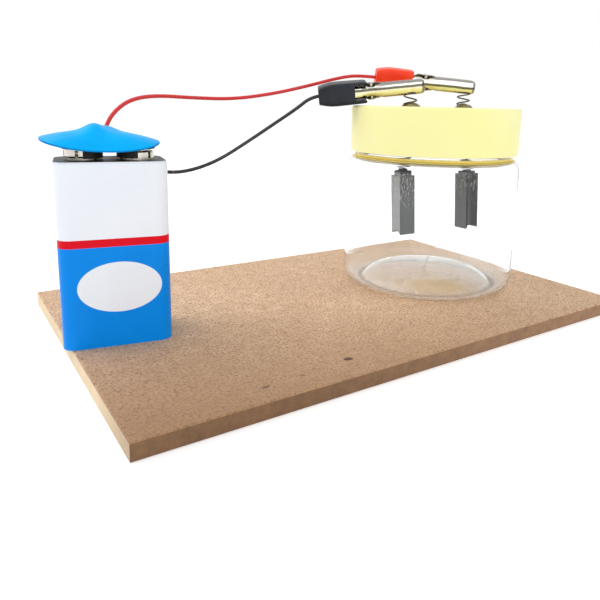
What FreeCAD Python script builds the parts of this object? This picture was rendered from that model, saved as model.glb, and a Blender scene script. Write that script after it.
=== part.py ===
import FreeCAD, Part
import Sketcher
import math
import os

# Water-electrolysis demonstration kit: a 9 V battery and a clear jar stand on a fibre board. Two carbon
# electrodes hang on springs inside the jar, and two crocodile clips join them to the battery's leads.
# Millimetres, +X along the board's long edge, +Z up, origin in the middle of the board's underside.

Vector = FreeCAD.Vector
Rotation = FreeCAD.Rotation
Placement = FreeCAD.Placement

doc = FreeCAD.newDocument("WaterKit")
sheet = doc.addObject("Spreadsheet::Sheet", "Sizes")


# ---------------------------------------------------------------- sizes

class Size:
    """A length or angle that knows both its number and the spreadsheet expression that gives it."""

    def __init__(self, value, text):
        self.value = value
        self.text = text

    def __add__(self, other):
        return combine(self, other, "+", lambda a, b: a + b)

    def __radd__(self, other):
        return combine(other, self, "+", lambda a, b: a + b)

    def __sub__(self, other):
        return combine(self, other, "-", lambda a, b: a - b)

    def __rsub__(self, other):
        return combine(other, self, "-", lambda a, b: a - b)

    def __mul__(self, other):
        return combine(self, other, "*", lambda a, b: a * b)

    def __rmul__(self, other):
        return combine(other, self, "*", lambda a, b: a * b)

    def __truediv__(self, other):
        return combine(self, other, "/", lambda a, b: a / b)

    def __neg__(self):
        return combine(0, self, "-", lambda a, b: a - b)


def as_size(number):
    """A plain number becomes a Size, so that both kinds mix in a formula."""
    return number if isinstance(number, Size) else Size(number, repr(float(number)))


def combine(left, right, sign, work):
    a = as_size(left)
    b = as_size(right)
    return Size(work(a.value, b.value), "(%s %s %s)" % (a.text, sign, b.text))


rows = []


def size(alias, value, note):
    """One row of the spreadsheet: what it is, its number and its alias."""
    rows.append(alias)
    row = len(rows)
    sheet.set("A%d" % row, note)
    sheet.set("B%d" % row, repr(value))
    sheet.setAlias("B%d" % row, alias)
    return Size(value, "Sizes.%s" % alias)


board_long = size("board_long", 160.0, "board, long edge")
board_wide = size("board_wide", 100.0, "board, short edge")
board_thick = size("board_thick", 4.0, "board thickness")
board_edge = size("board_edge", 0.3, "softened edge of the board")

battery_x = size("battery_x", -67.5, "battery centre")
battery_y = size("battery_y", 3.2, "battery centre")
battery_turn = size("battery_turn", -11.3, "battery turned on the board, degrees")
battery_long = size("battery_long", 26.5, "battery jacket, wide side")
battery_deep = size("battery_deep", 17.5, "battery jacket, narrow side")
jacket_corner = size("jacket_corner", 3.3, "battery jacket corner radius")
jacket_sheet = size("jacket_sheet", 0.3, "battery jacket sheet")
jacket_lip = size("jacket_lip", 1.1, "rolled lip under the battery")
plate_gap = size("plate_gap", 0.1, "clearance of the end plates in the jacket")
end_plate = size("end_plate", 0.8, "depth of an end plate inside the jacket")
rim_plate = size("rim_plate", 0.45, "top plate standing on the jacket")
rim_inset = size("rim_inset", 0.2, "top plate back from the jacket's side")
cell_inset = size("cell_inset", 1.15, "room round the flat cells")
cell_count = 6
cell_pitch = size("cell_pitch", 6.6, "height of one flat cell with its gap")
cell_gap = size("cell_gap", 0.1, "gap between flat cells")
cell_corner = size("cell_corner", 1.6, "flat cell corner radius")
cell_floor = size("cell_floor", 1.8, "lowest flat cell above the board")
stack_room = size("stack_room", 4.5, "room over the flat cells, up to the jacket's top edge")
strap_thick = size("strap_thick", 0.25, "contact strip thickness")
strap_wide = size("strap_wide", 5.0, "contact strip width")

snap_pitch = size("snap_pitch", 12.7, "distance between the two snaps")
stud_head = size("stud_head", 5.7, "snap stud, head diameter")
stud_neck = size("stud_neck", 4.9, "snap stud, neck diameter")
stud_flange = size("stud_flange", 7.4, "snap stud, flange diameter")
stud_waist = size("stud_waist", 1.1, "snap stud, top of its neck below the top")
stud_brow = size("stud_brow", 0.7, "snap stud, widest from here below the top")
stud_round = size("stud_round", 0.35, "snap stud, rounded top edge")
crown_wide = size("crown_wide", 8.7, "snap socket, outside diameter")
crown_clear = size("crown_clear", 0.1, "snap socket's room round the stud")
crown_slot = size("crown_slot", 0.8, "slot between the socket's petals")
crown_round = size("crown_round", 0.5, "snap socket, rounded top edge")
crown_petals = size("crown_petals", 6, "petals of the snap socket")
snap_high = size("snap_high", 2.1, "height of a stud or socket")
snap_sheet = size("snap_sheet", 0.3, "snap base sheet")
snap_clear = size("snap_clear", 0.5, "from a snap to the strip it faces")
rivet_wide = size("rivet_wide", 2.0, "rivet shank diameter")
rivet_head = size("rivet_head", 3.4, "rivet head diameter")
rivet_fit = size("rivet_fit", 0.05, "rivet's radial clearance in its hole")
rivet_play = size("rivet_play", 0.05, "room under a rivet head")

strip_long = size("strip_long", 22.0, "connector strip length")
strip_wide = size("strip_wide", 9.6, "connector strip width")
strip_thick = size("strip_thick", 1.0, "connector strip thickness")
collar_wall = size("collar_wall", 0.3, "collar on the strip, wall")
collar_high = size("collar_high", 2.2, "collar on the strip, height")
collar_clear = size("collar_clear", 0.12, "collar's room round a snap")
dome_wide = size("dome_wide", 3.6, "solder dome diameter")
dome_high = size("dome_high", 1.1, "solder dome height")

cover_long = size("cover_long", 29.0, "vinyl cover length")
cover_wide = size("cover_wide", 15.2, "vinyl cover width")
cover_shift = size("cover_shift", -1.6, "vinyl cover's centre along the battery")
cover_skin = size("cover_skin", 0.7, "vinyl cover thickness")
cover_crown = size("cover_crown", 3.6, "cover's height above the strip")
cover_wall = size("cover_wall", 1.2, "cover's inner wall")
cover_mouth = size("cover_mouth", 3.4, "half the gap in the cover's wall where the leads come out")
cover_lean = size("cover_lean", 0.041, "cover's fall per millimetre along the battery")
left_droop = size("left_droop", 1.5, "cover's droop at its left end")
right_droop = size("right_droop", 2.6, "cover's droop at its right end")
side_droop = size("side_droop", 4.3, "cover's droop at its long edges")
knob_high = size("knob_high", 1.8, "knob in the middle of the cover, height")
knob_shift = size("knob_shift", -0.9, "knob from the cover's middle")
knob_long = size("knob_long", 3.0, "knob, spread along the cover")
knob_wide = size("knob_wide", 4.0, "knob, spread across the cover")
tunnel_high = size("tunnel_high", 4.2, "cover's rise over the leads at its rear edge")
cover_over = size("cover_over", 1.06, "drawn surface as a share of the trimmed cover")

jar_x = size("jar_x", 40.5, "jar centre")
jar_y = size("jar_y", -0.6, "jar centre")
jar_radius = size("jar_radius", 29.3, "jar body radius")
jar_wall = size("jar_wall", 0.9, "jar wall")
jar_heel = size("jar_heel", 5.0, "radius of the jar's heel")
jar_foot = size("jar_foot", 1.9, "width of the standing ring")
jar_shoulder_z = size("jar_shoulder_z", 44.4, "top of the jar's shoulder")
jar_shoulder = size("jar_shoulder", 3.3, "shoulder radius")
neck_step = size("neck_step", 3.7, "jar neck in from the jar's side")
neck_bead = size("neck_bead", 1.2, "bead under the neck, height and reach")
jar_rim = size("jar_rim", 59.2, "jar rim above the board")
rib_reach = size("rib_reach", 0.8, "neck rib reach")
rib_low = size("rib_low", 48.5, "lower neck rib")
rib_step = size("rib_step", 3.5, "from one neck rib to the next")
push_rise = size("push_rise", 4.6, "height of the pushed-up bottom")
push_flat = size("push_flat", 3.0, "radius of the flat middle of the bottom")
push_dish = size("push_dish", 0.9, "fall of the pushed-up bottom to its shoulder")
push_crown = size("push_crown", 124.5, "radius of its shallow crown")
push_slope = size("push_slope", 6.4, "width of its sloping side")
push_side = size("push_side", 9.46, "radius of its sloping side")

lid_reach = size("lid_reach", 2.8, "lid's side out from the jar's neck")
lid_skirt = size("lid_skirt", 15.0, "lid height outside")
lid_top = size("lid_top", 1.4, "lid top wall")
lid_side = size("lid_side", 1.2, "lid side wall")
lid_seat = size("lid_seat", 0.34, "lid's top wall above the jar rim")
lid_edge = size("lid_edge", 0.8, "rounded top edge of the lid")

coil_wide = size("coil_wide", 4.6, "spring outside diameter")
coil_wire = size("coil_wire", 0.45, "spring wire")
coil_pitch = size("coil_pitch", 1.95, "spring pitch below the lid")
coil_above = size("coil_above", 4.6, "spring above the lid")
coil_turns_above = size("coil_turns_above", 2, "full turns above the lid")
coil_room = size("coil_room", 0.35, "room round the spring in the lid")
stub_top = size("stub_top", 1.2, "spring's end wire above the jaws' middle")
glue_wide = size("glue_wide", 2.8, "glue blob radius")
glue_high = size("glue_high", 1.6, "glue blob height")
glue_shift = size("glue_shift", 1.4, "second lobe of the glue from the first")
glue_share = size("glue_share", 0.76, "second lobe's size as a share of the first")

brush_side = size("brush_side", 5.7, "carbon block side")
brush_high = size("brush_high", 20.0, "carbon block height")
brush_groove = size("brush_groove", 1.6, "groove down the carbon block")
groove_shift = size("groove_shift", -1.3, "groove from the middle of its face")
brush_notch = size("brush_notch", 1.2, "hollow in the block's lower end")
head_side = size("head_side", 4.2, "square head on the carbon block, side")
head_high = size("head_high", 1.8, "square head on the carbon block, height")
boss_high = size("boss_high", 0.9, "spring seat on the head, height")
boss_clear = size("boss_clear", 0.4, "spring seat's clearance inside the coil")
brush_top = size("brush_top", 38.1, "top of the carbon blocks above the board")

jaw_gap = size("jaw_gap", 0.275, "half the gap between the closed jaws")
jaw_sheet = size("jaw_sheet", 0.4, "clip sheet")
ear_round = size("ear_round", 0.5, "corner radius at the ears as a share of the half height")
jaw_round = size("jaw_round", 0.7, "corner radius ahead of the ears as a share of the half height")
jaw_tip = size("jaw_tip", 34.8, "clip length, boot's end to jaw tip")
jaw_tip_half = size("jaw_tip_half", 1.55, "half height of a jaw near its tip")
jaw_mid_half = size("jaw_mid_half", 1.95, "half height of a jaw past its ears")
jaw_tip_deep = size("jaw_tip_deep", 1.5, "depth of a jaw near its tip")
jaw_mid_deep = size("jaw_mid_deep", 2.5, "depth of a jaw at its ears")
ear_at = size("ear_at", 17.5, "pivot, from the boot's end")
ear_radius = size("ear_radius", 1.4, "radius of the ears")
ear_back = size("ear_back", 3.0, "jaw's rear edge behind the pivot")
ear_front = size("ear_front", 1.7, "ears' full width ends ahead of the pivot")
jaw_from = size("jaw_from", 4.0, "jaw's plain section begins ahead of the pivot")
tip_long = size("tip_long", 1.2, "closed tip of a jaw")
tip_share = size("tip_share", 0.72, "closed tip's end as a share of its base")
ear_inner = size("ear_inner", 1.9, "moving jaw's ears, half width")
ear_outer = size("ear_outer", 2.35, "fixed jaw's ears, half width")
pin_wide = size("pin_wide", 1.2, "pivot pin diameter")
pin_fit = size("pin_fit", 0.06, "pivot pin's clearance in the ears")
pin_head = size("pin_head", 2.0, "pivot pin's head diameter")
pin_cap = size("pin_cap", 0.4, "pivot pin's head thickness")
pin_play = size("pin_play", 0.05, "end play of the pivot pin")
tooth_pitch = size("tooth_pitch", 1.0, "pitch of the jaw teeth")
tooth_deep = size("tooth_deep", 0.5, "depth of the jaw teeth")
tooth_count = size("tooth_count", 10, "gaps between the jaw teeth")
tooth_from = size("tooth_from", 4.5, "first tooth ahead of the pivot")
tooth_over = size("tooth_over", 0.05, "tooth cut beyond the jaw's edge")
handle_half = size("handle_half", 1.5, "half width of a clip handle")
handle_out = size("handle_out", 3.1, "outside of a clip handle from the middle")
handle_end = size("handle_end", 4.5, "end of the clip handles from the boot's end")
handle_bend = size("handle_bend", 6.0, "bend of a handle behind the pivot")
handle_root = size("handle_root", 2.3, "root of a handle behind the pivot")
root_share = size("root_share", 0.9, "depth at a jaw's rear edge as a share of its depth at the ears")
coil_arm = size("coil_arm", 0.4, "clip spring wire")
coil_arm_room = size("coil_arm_room", 0.15, "clip spring's room round the pin")
arm_long = size("arm_long", 8.0, "arm of the clip spring")
arm_clear = size("arm_clear", 0.1, "arm of the clip spring from the handle")
coil_arm_turns = size("coil_arm_turns", 2.5, "turns of the clip spring")
coil_arm_pitch = size("coil_arm_pitch", 1.06, "pitch of the clip spring as a share of its wire")
boot_long = size("boot_long", 16.0, "boot length with its tongues")
boot_notch = size("boot_notch", 12.0, "boot's end to its side notches")
boot_half_deep = size("boot_half_deep", 4.4, "half the boot's width across the jaws")
boot_half_high = size("boot_half_high", 3.8, "half the boot's height at the front")
boot_half_rear = size("boot_half_rear", 2.8, "half the boot's height at the rear")
boot_wall = size("boot_wall", 0.9, "boot wall")
boot_corner = size("boot_corner", 1.6, "boot corner radius")
boot_end = size("boot_end", 0.5, "extra thickness of the boot's closed end")
boot_swell = size("boot_swell", 1.2, "rounding at the boot's closed end")
boot_slit = size("boot_slit", 0.4, "tongue's corner over its side notch")
red_tongue = size("red_tongue", 0.9, "red boot's upper tongue")
wire_wide = size("wire_wide", 1.15, "lead diameter")
wire_room = size("wire_room", 0.35, "room round a lead where it goes in")

clip_yaw = size("clip_yaw", -34.2, "heading of both clips, degrees")
clip_roll = size("clip_roll", 10.0, "clips leaning about their length, degrees")
black_in_x = size("black_in_x", -36.6, "black clip, rear of its boot from the jar's axis")
black_in_y = size("black_in_y", 17.1, "black clip, rear of its boot from the jar's axis")
black_z = size("black_z", 2.86, "black clip, rear of its boot above the lid")
black_slope = size("black_slope", 6.5, "black clip's rise toward its tip, degrees")
red_in_x = size("red_in_x", -13.2, "red clip, rear of its boot from the jar's axis")
red_in_y = size("red_in_y", 16.7, "red clip, rear of its boot from the jar's axis")
red_z = size("red_z", 9.76, "red clip, rear of its boot above the lid")
red_slope = size("red_slope", -4.6, "red clip's rise toward its tip, degrees")

left_in_x = size("left_in_x", -11.5, "left spring from the jar's axis")
left_lean_x = size("left_lean_x", -0.9, "left block's top from its spring's hole")
left_lean_y = size("left_lean_y", 0.6, "left block's top from its spring's hole")
left_turn = size("left_turn", 78.0, "left block's turn, degrees")
right_in_x = size("right_in_x", 12.7, "right spring from the jar's axis")
right_in_y = size("right_in_y", -0.9, "right spring from the jar's axis")
right_lean_x = size("right_lean_x", 2.8, "right block's top from its spring's hole")
right_lean_y = size("right_lean_y", -1.5, "right block's top from its spring's hole")
right_tilt_x = size("right_tilt_x", 1.0, "right block's lower end from its top")
right_tilt_y = size("right_tilt_y", -0.6, "right block's lower end from its top")
right_turn = size("right_turn", -3.0, "right block's turn, degrees")

jacket_high = cell_floor + cell_pitch * cell_count + stack_room
neck_radius = jar_radius - neck_step
lid_radius = neck_radius + lid_reach
black_x = jar_x + black_in_x
black_y = jar_y + black_in_y
red_x = jar_x + red_in_x
red_y = jar_y + red_in_y
left_x = jar_x + left_in_x
left_y = jar_y
left_top_x = left_x + left_lean_x
left_top_y = left_y + left_lean_y
right_x = jar_x + right_in_x
right_y = jar_y + right_in_y
right_top_x = right_x + right_lean_x
right_top_y = right_y + right_lean_y
right_low_x = right_top_x + right_tilt_x
right_low_y = right_top_y + right_tilt_y

# Half the diagonal of a square section with a round wire's area, as a share of the wire's diameter.
diamond_share = 0.62
half_turn = 180.0
full_turn = 360.0

lid_under = jar_rim + lid_seat
lid_z = board_thick + lid_under + lid_top


# ---------------------------------------------------------------- building blocks

def bind(thing, prop, amount):
    """Ties one property of a feature to its spreadsheet expression."""
    thing.setExpression(prop, as_size(amount).text)


def new_body(label, x=0, y=0, z=0, turn=0):
    """An empty body with its place bound to the spreadsheet and turned about Z."""
    body = doc.addObject("PartDesign::Body", label)
    body.Label = label
    body.Placement = Placement(Vector(0, 0, 0), Rotation(Vector(0, 0, 1), as_size(turn).value))
    bind(body, "Placement.Base.x", x)
    bind(body, "Placement.Base.y", y)
    bind(body, "Placement.Base.z", z)
    if isinstance(turn, Size):
        bind(body, "Placement.Rotation.Angle", turn)
    return body


def new_sketch(body, plane, lift=0):
    """A sketch on one of the body's own origin planes, moved along the plane's normal by lift."""
    sketch = body.newObject("Sketcher::SketchObject", "Sketch")
    base = [item for item in body.Origin.OriginFeatures if item.Role == plane][0]
    sketch.AttachmentSupport = [(base, "")]
    sketch.MapMode = "FlatFace"
    bind(sketch, "AttachmentOffset.Base.z", lift)
    return sketch


def fix(sketch, kind, *where_and_amount):
    """Adds one measured constraint and binds it to its expression."""
    where = where_and_amount[:-1]
    amount = as_size(where_and_amount[-1])
    index = sketch.addConstraint(Sketcher.Constraint(kind, *where, amount.value))
    sketch.setExpression("Constraints[%d]" % index, amount.text)


def arc_between(start, end, radius, turn):
    """The short arc from start to end: turn is +1 for counter-clockwise and -1 for clockwise."""
    chord = end - start
    height = math.sqrt(max(radius * radius - chord.Length * chord.Length / 4.0, 0.0))
    side = Vector(-chord.y, chord.x, 0).normalize()
    centre = (start + end) * 0.5 + side * (height * turn)
    first, last = (start, end) if turn > 0 else (end, start)
    begin = math.atan2(first.y - centre.y, first.x - centre.x)
    stop = math.atan2(last.y - centre.y, last.x - centre.x)
    circle = Part.Circle(centre, Vector(0, 0, 1), radius)
    return Part.ArcOfCircle(circle, begin, stop)


def outline(body, plane, corners, lift=0):
    """A closed outline. A corner is (x, y), or (x, y, radius, turn) where an arc leads on from it."""
    sketch = new_sketch(body, plane, lift)
    spots = [Vector(as_size(corner[0]).value, as_size(corner[1]).value, 0) for corner in corners]
    ends = []
    for index, corner in enumerate(corners):
        start = spots[index]
        end = spots[(index + 1) % len(spots)]
        if len(corner) == 2:
            sketch.addGeometry(Part.LineSegment(start, end), False)
            ends.append((1, 2))
        else:
            sketch.addGeometry(arc_between(start, end, as_size(corner[2]).value, corner[3]), False)
            ends.append((1, 2) if corner[3] > 0 else (2, 1))
    for index, corner in enumerate(corners):
        after = (index + 1) % len(corners)
        sketch.addConstraint(Sketcher.Constraint("Coincident", index, ends[index][1], after, ends[after][0]))
        fix(sketch, "DistanceX", -1, 1, index, ends[index][0], corner[0])
        fix(sketch, "DistanceY", -1, 1, index, ends[index][0], corner[1])
        if len(corner) > 2:
            fix(sketch, "Radius", index, corner[2])
    return sketch


def round_box(half_x, half_y, corner):
    """Corners of a rectangle with round corners, for outline."""
    inner_x = half_x - corner
    inner_y = half_y - corner
    return [(half_x, -inner_y), (half_x, inner_y, corner, 1), (inner_x, half_y), (-inner_x, half_y, corner, 1),
            (-half_x, inner_y), (-half_x, -inner_y, corner, 1), (-inner_x, -half_y),
            (inner_x, -half_y, corner, 1)]


def disc(body, plane, radius, lift=0, x=0, y=0):
    """A sketch of one circle."""
    sketch = new_sketch(body, plane, lift)
    centre = Vector(as_size(x).value, as_size(y).value, 0)
    sketch.addGeometry(Part.Circle(centre, Vector(0, 0, 1), as_size(radius).value), False)
    fix(sketch, "DistanceX", -1, 1, 0, 3, x)
    fix(sketch, "DistanceY", -1, 1, 0, 3, y)
    fix(sketch, "Radius", 0, radius)
    return sketch


def pad(body, sketch, length, both=False):
    """Raises a sketch by a length; with both=True the length is the whole width about the sketch."""
    feature = body.newObject("PartDesign::Pad", "Pad")
    feature.Profile = sketch
    feature.SideType = "Symmetric" if both else "One side"
    bind(feature, "Length", length)
    return feature


def pocket(body, sketch, length, both=False, upward=True):
    """Cuts a sketch; upward cuts go along the sketch's normal."""
    feature = body.newObject("PartDesign::Pocket", "Pocket")
    feature.Profile = sketch
    feature.SideType = "Symmetric" if both else "One side"
    feature.Reversed = upward and not both
    bind(feature, "Length", length)
    return feature


def revolve(body, sketch):
    """A full turn of a sketch about its vertical axis."""
    feature = body.newObject("PartDesign::Revolution", "Revolution")
    feature.Profile = sketch
    feature.ReferenceAxis = (sketch, ["V_Axis"])
    feature.Angle = full_turn
    return feature


def turned(label, corners, x=0, y=0, z=0, turn=0):
    """A body that is one revolved outline: each corner is (radius, height)."""
    body = new_body(label, x, y, z, turn)
    revolve(body, outline(body, "XZ_Plane", corners))
    return body


def loft(body, sections):
    """A ruled loft through sketches, the first one being the profile."""
    feature = body.newObject("PartDesign::AdditiveLoft", "Loft")
    feature.Profile = sections[0]
    feature.Sections = sections[1:]
    feature.Ruled = True
    return feature


def hollow_loft(body, sections):
    """A ruled loft that is cut away."""
    feature = body.newObject("PartDesign::SubtractiveLoft", "HollowLoft")
    feature.Profile = sections[0]
    feature.Sections = sections[1:]
    feature.Ruled = True
    return feature


def mirror(body, originals, plane):
    """Mirrors features in one of the body's origin planes."""
    base = [item for item in body.Origin.OriginFeatures if item.Role == plane][0]
    feature = body.newObject("PartDesign::Mirrored", "Mirrored")
    feature.Originals = originals
    feature.MirrorPlane = (base, [""])
    body.Tip = feature
    return feature


def around(body, originals, sketch, copies):
    """Repeats features round the sketch's normal."""
    feature = body.newObject("PartDesign::PolarPattern", "Polar")
    feature.Originals = originals
    feature.Axis = (sketch, ["N_Axis"])
    feature.Angle = full_turn
    bind(feature, "Occurrences", copies)
    body.Tip = feature
    return feature


def along(body, originals, sketch, pitch, copies):
    """Repeats features along the sketch's horizontal axis."""
    feature = body.newObject("PartDesign::LinearPattern", "Row")
    feature.Originals = originals
    feature.Direction = (sketch, ["H_Axis"])
    bind(feature, "Length", pitch * (copies - 1))
    bind(feature, "Occurrences", copies)
    body.Tip = feature
    return feature


# ---------------------------------------------------------------- board

def make_board():
    body = new_body("base_board")
    half_long = board_long / 2
    half_wide = board_wide / 2
    corners = [(-half_long, -half_wide), (half_long, -half_wide), (half_long, half_wide),
               (-half_long, half_wide)]
    slab = pad(body, outline(body, "XY_Plane", corners), board_thick)
    doc.recompute()
    edges = ["Edge%d" % (index + 1) for index, edge in enumerate(slab.Shape.Edges)
             if edge.BoundBox.ZMin > board_thick.value - 0.01]
    soft = body.newObject("PartDesign::Chamfer", "SoftEdge")
    soft.Base = (slab, edges)
    bind(soft, "Size", board_edge)


# ---------------------------------------------------------------- battery

def battery_body(label, x=0, y=0, z=0):
    """A body in the battery's own frame: origin on the board under its centre."""
    return new_body(label, battery_x, battery_y, board_thick, battery_turn)


def rounded_prism(body, half_x, half_y, corner, bottom, height):
    return pad(body, outline(body, "XY_Plane", round_box(half_x, half_y, corner), bottom), height)


def make_jacket():
    """Steel jacket: an open rounded tube with its lower edge rolled in under the bottom plate."""
    body = battery_body("battery_jacket")
    half_x = battery_long / 2
    half_y = battery_deep / 2
    rounded_prism(body, half_x, half_y, jacket_corner, 0, jacket_high)
    inside = round_box(half_x - jacket_sheet, half_y - jacket_sheet, jacket_corner - jacket_sheet)
    pocket(body, outline(body, "XY_Plane", inside, jacket_sheet), jacket_high)
    mouth = round_box(half_x - jacket_lip, half_y - jacket_lip, jacket_corner - jacket_lip)
    pocket(body, outline(body, "XY_Plane", mouth), jacket_high)


def plate_half(size_across):
    """Half of an end plate that slips into the jacket."""
    return size_across / 2 - jacket_sheet - plate_gap


def rivet_holes(body, bottom, height):
    radius = rivet_wide / 2 + rivet_fit
    for side in (-1, 1):
        hole = disc(body, "XY_Plane", radius, bottom, snap_pitch / 2 * side)
        pocket(body, hole, height)


def make_end_plates():
    """The black top plate stands on the jacket's rim and plugs it; the bottom plate lies on the lip."""
    body = battery_body("battery_top_plate")
    corner = jacket_corner - jacket_sheet - plate_gap
    plug_x = plate_half(battery_long)
    plug_y = plate_half(battery_deep)
    rounded_prism(body, plug_x, plug_y, corner, jacket_high - end_plate, end_plate)
    rounded_prism(body, battery_long / 2 - rim_inset, battery_deep / 2 - rim_inset, jacket_corner - rim_inset,
                  jacket_high, rim_plate)
    rivet_holes(body, jacket_high - end_plate - rim_plate, (end_plate + rim_plate) * 2)
    body = battery_body("battery_bottom_plate")
    rounded_prism(body, plug_x, plug_y, corner, jacket_sheet, end_plate)


def make_cells():
    """Six flat cells, one on the other."""
    half_x = battery_long / 2 - jacket_sheet - cell_inset
    half_y = battery_deep / 2 - jacket_sheet - cell_inset
    for number in range(cell_count):
        body = battery_body("flat_cell_%d" % (number + 1))
        bottom = cell_floor + cell_pitch * number
        rounded_prism(body, half_x, half_y, cell_corner, bottom, cell_pitch - cell_gap)


cell_top = cell_floor + cell_pitch * cell_count - cell_gap


def make_cell_contacts():
    """A strip runs from under the lowest cell up the side; a bent strip sits on the top cell."""
    side = battery_long / 2 - jacket_sheet - cell_inset
    foot = cell_floor - strap_thick
    top = jacket_high - end_plate - rivet_lift
    body = battery_body("cell_strap")
    bend = [(side - strap_wide, foot), (side + strap_thick * 2, foot), (side + strap_thick * 2, top),
            (snap_pitch / 2 - rivet_head / 2, top), (snap_pitch / 2 - rivet_head / 2, top - strap_thick),
            (side + strap_thick, top - strap_thick), (side + strap_thick, foot + strap_thick),
            (side - strap_wide, foot + strap_thick)]
    pad(body, outline(body, "XZ_Plane", bend), strap_wide, both=True)
    body = battery_body("cell_contact")
    low = cell_top
    left = -snap_pitch / 2 - rivet_head / 2
    right = -snap_pitch / 2 + rivet_head / 2
    spring = [(left, top - strap_thick), (right, top - strap_thick), (right + strap_wide, low),
              (right + strap_wide * 2, low), (right + strap_wide * 2, low + strap_thick),
              (right + strap_wide, low + strap_thick), (right, top), (left, top)]
    pad(body, outline(body, "XZ_Plane", spring), strap_wide, both=True)


# ---------------------------------------------------------------- snaps

rivet_lift = snap_sheet + rivet_play


def stud_profile(grip):
    """Half section of a snap stud; grip is how far its rivet reaches below the seat to the rivet head."""
    head = stud_head / 2
    neck = stud_neck / 2
    shank = rivet_wide / 2
    tail = rivet_head / 2
    high = snap_high
    return [(0, -(grip + snap_sheet)), (tail, -(grip + snap_sheet)), (tail, -grip), (shank, -grip), (shank, 0),
            (stud_flange / 2, 0), (stud_flange / 2, snap_sheet), (neck, snap_sheet), (neck, high - stud_waist),
            (head, high - stud_brow), (head, high - stud_round, stud_round, 1), (head - stud_round, high),
            (0, high)]


def socket_profile(grip):
    """Half section of a snap socket: a cup that grips the stud's head just inside its mouth."""
    shank = rivet_wide / 2
    tail = rivet_head / 2
    bore = stud_head / 2 + crown_clear
    wall = crown_wide / 2
    return [(0, -(grip + snap_sheet)), (tail, -(grip + snap_sheet)), (tail, -grip), (shank, -grip), (shank, 0),
            (wall, 0), (wall, snap_high - crown_round, crown_round, 1), (wall - crown_round, snap_high),
            (bore, snap_high),
            (bore, snap_sheet), (0, snap_sheet)]


def petal_slots(body):
    """Slots that part the socket's crown into petals."""
    half = crown_slot / 2
    slot = [(0, -half), (crown_wide, -half), (crown_wide, half), (0, half)]
    sketch = outline(body, "XY_Plane", slot, snap_sheet)
    cut = pocket(body, sketch, snap_high)
    around(body, [cut], sketch, crown_petals)


def snap(label, profile, across, bottom, downward):
    """A stud or socket in the battery's frame: downward ones hang from the connector strip."""
    body = turned(label, profile)
    angle = math.radians(battery_turn.value)
    bind(body, "Placement.Base.x", battery_x + across * math.cos(angle))
    bind(body, "Placement.Base.y", battery_y + across * math.sin(angle))
    bind(body, "Placement.Base.z", board_thick + bottom)
    if downward:
        body.Placement.Rotation = Rotation(Vector(1, 0, 0), half_turn)
    return body


plate_top = jacket_high + rim_plate
strip_bottom = plate_top + snap_high + snap_clear
strip_top = strip_bottom + strip_thick


def make_snaps():
    """Battery: stud at one end, socket at the other. The connector carries the opposite pair, upside down."""
    half = snap_pitch / 2
    through_plate = rim_plate + end_plate
    snap("battery_stud", stud_profile(through_plate), -half, plate_top, False)
    body = snap("battery_socket", socket_profile(through_plate), half, plate_top, False)
    petal_slots(body)
    body = snap("connector_socket", socket_profile(strip_thick), -half, strip_bottom, True)
    petal_slots(body)
    snap("connector_stud", stud_profile(strip_thick), half, strip_bottom, True)


# ---------------------------------------------------------------- connector

def oblong(half_x, half_y, shift=0):
    """A strip with round ends, for outline."""
    flat = half_x - half_y
    return [(shift - flat, -half_y), (shift + flat, -half_y, half_y, 1), (shift + half_x, 0, half_y, 1),
            (shift + flat, half_y), (shift - flat, half_y, half_y, 1), (shift - half_x, 0, half_y, 1)]


def collar(body, side):
    """Half ring round the inner side of a snap; it keeps the two snaps apart."""
    centre = snap_pitch / 2 * side
    bore = crown_wide / 2 + collar_clear
    outer = bore + collar_wall
    ring = [(centre, -outer, outer, -side), (centre - outer * side, 0, outer, -side), (centre, outer),
            (centre, bore, bore, side), (centre - bore * side, 0, bore, side), (centre, -bore)]
    pad(body, outline(body, "XY_Plane", ring, strip_bottom - collar_high), collar_high)


def make_strip():
    """Black strip that holds the connector's snaps, with a half collar at each."""
    body = battery_body("connector_strip")
    pad(body, outline(body, "XY_Plane", oblong(strip_long / 2, strip_wide / 2), strip_bottom), strip_thick)
    collar(body, -1)
    collar(body, 1)
    rivet_holes(body, strip_bottom - strip_thick, strip_thick * 3)


def make_solder_domes():
    """A dome of solder on each rivet of the connector."""
    for name, side in (("connector_solder_red", -1), ("connector_solder_black", 1)):
        base = dome_wide / 2
        radius = (base * base + dome_high * dome_high) / (2 * dome_high)
        profile = [(0, 0), (base, 0, radius, 1), (0, dome_high)]
        snap(name, profile, snap_pitch / 2 * side, strip_top + snap_sheet, False)


# ---------------------------------------------------------------- vinyl cover

def cover_height(x, y):
    """Top surface of the soft cover above the strip's top, in the battery's frame."""
    across = x - cover_shift.value
    half_x = cover_long.value / 2
    half_y = cover_wide.value / 2
    droop = left_droop.value if across < 0 else right_droop.value
    saddle = -cover_lean.value * across - droop * (across / half_x) ** 2
    saddle -= side_droop.value * (y / half_y) ** 2
    along_knob = (across - knob_shift.value) / knob_long.value
    knob = knob_high.value * math.exp(-along_knob ** 2) * math.exp(-(y / knob_wide.value) ** 2)
    back = min(max(y / half_y, 0.0), 1.0)
    tunnel = tunnel_high.value * math.exp(-(x / cover_mouth.value) ** 2) * back * back * (3 - 2 * back)
    return cover_crown.value + saddle + knob + tunnel


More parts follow.
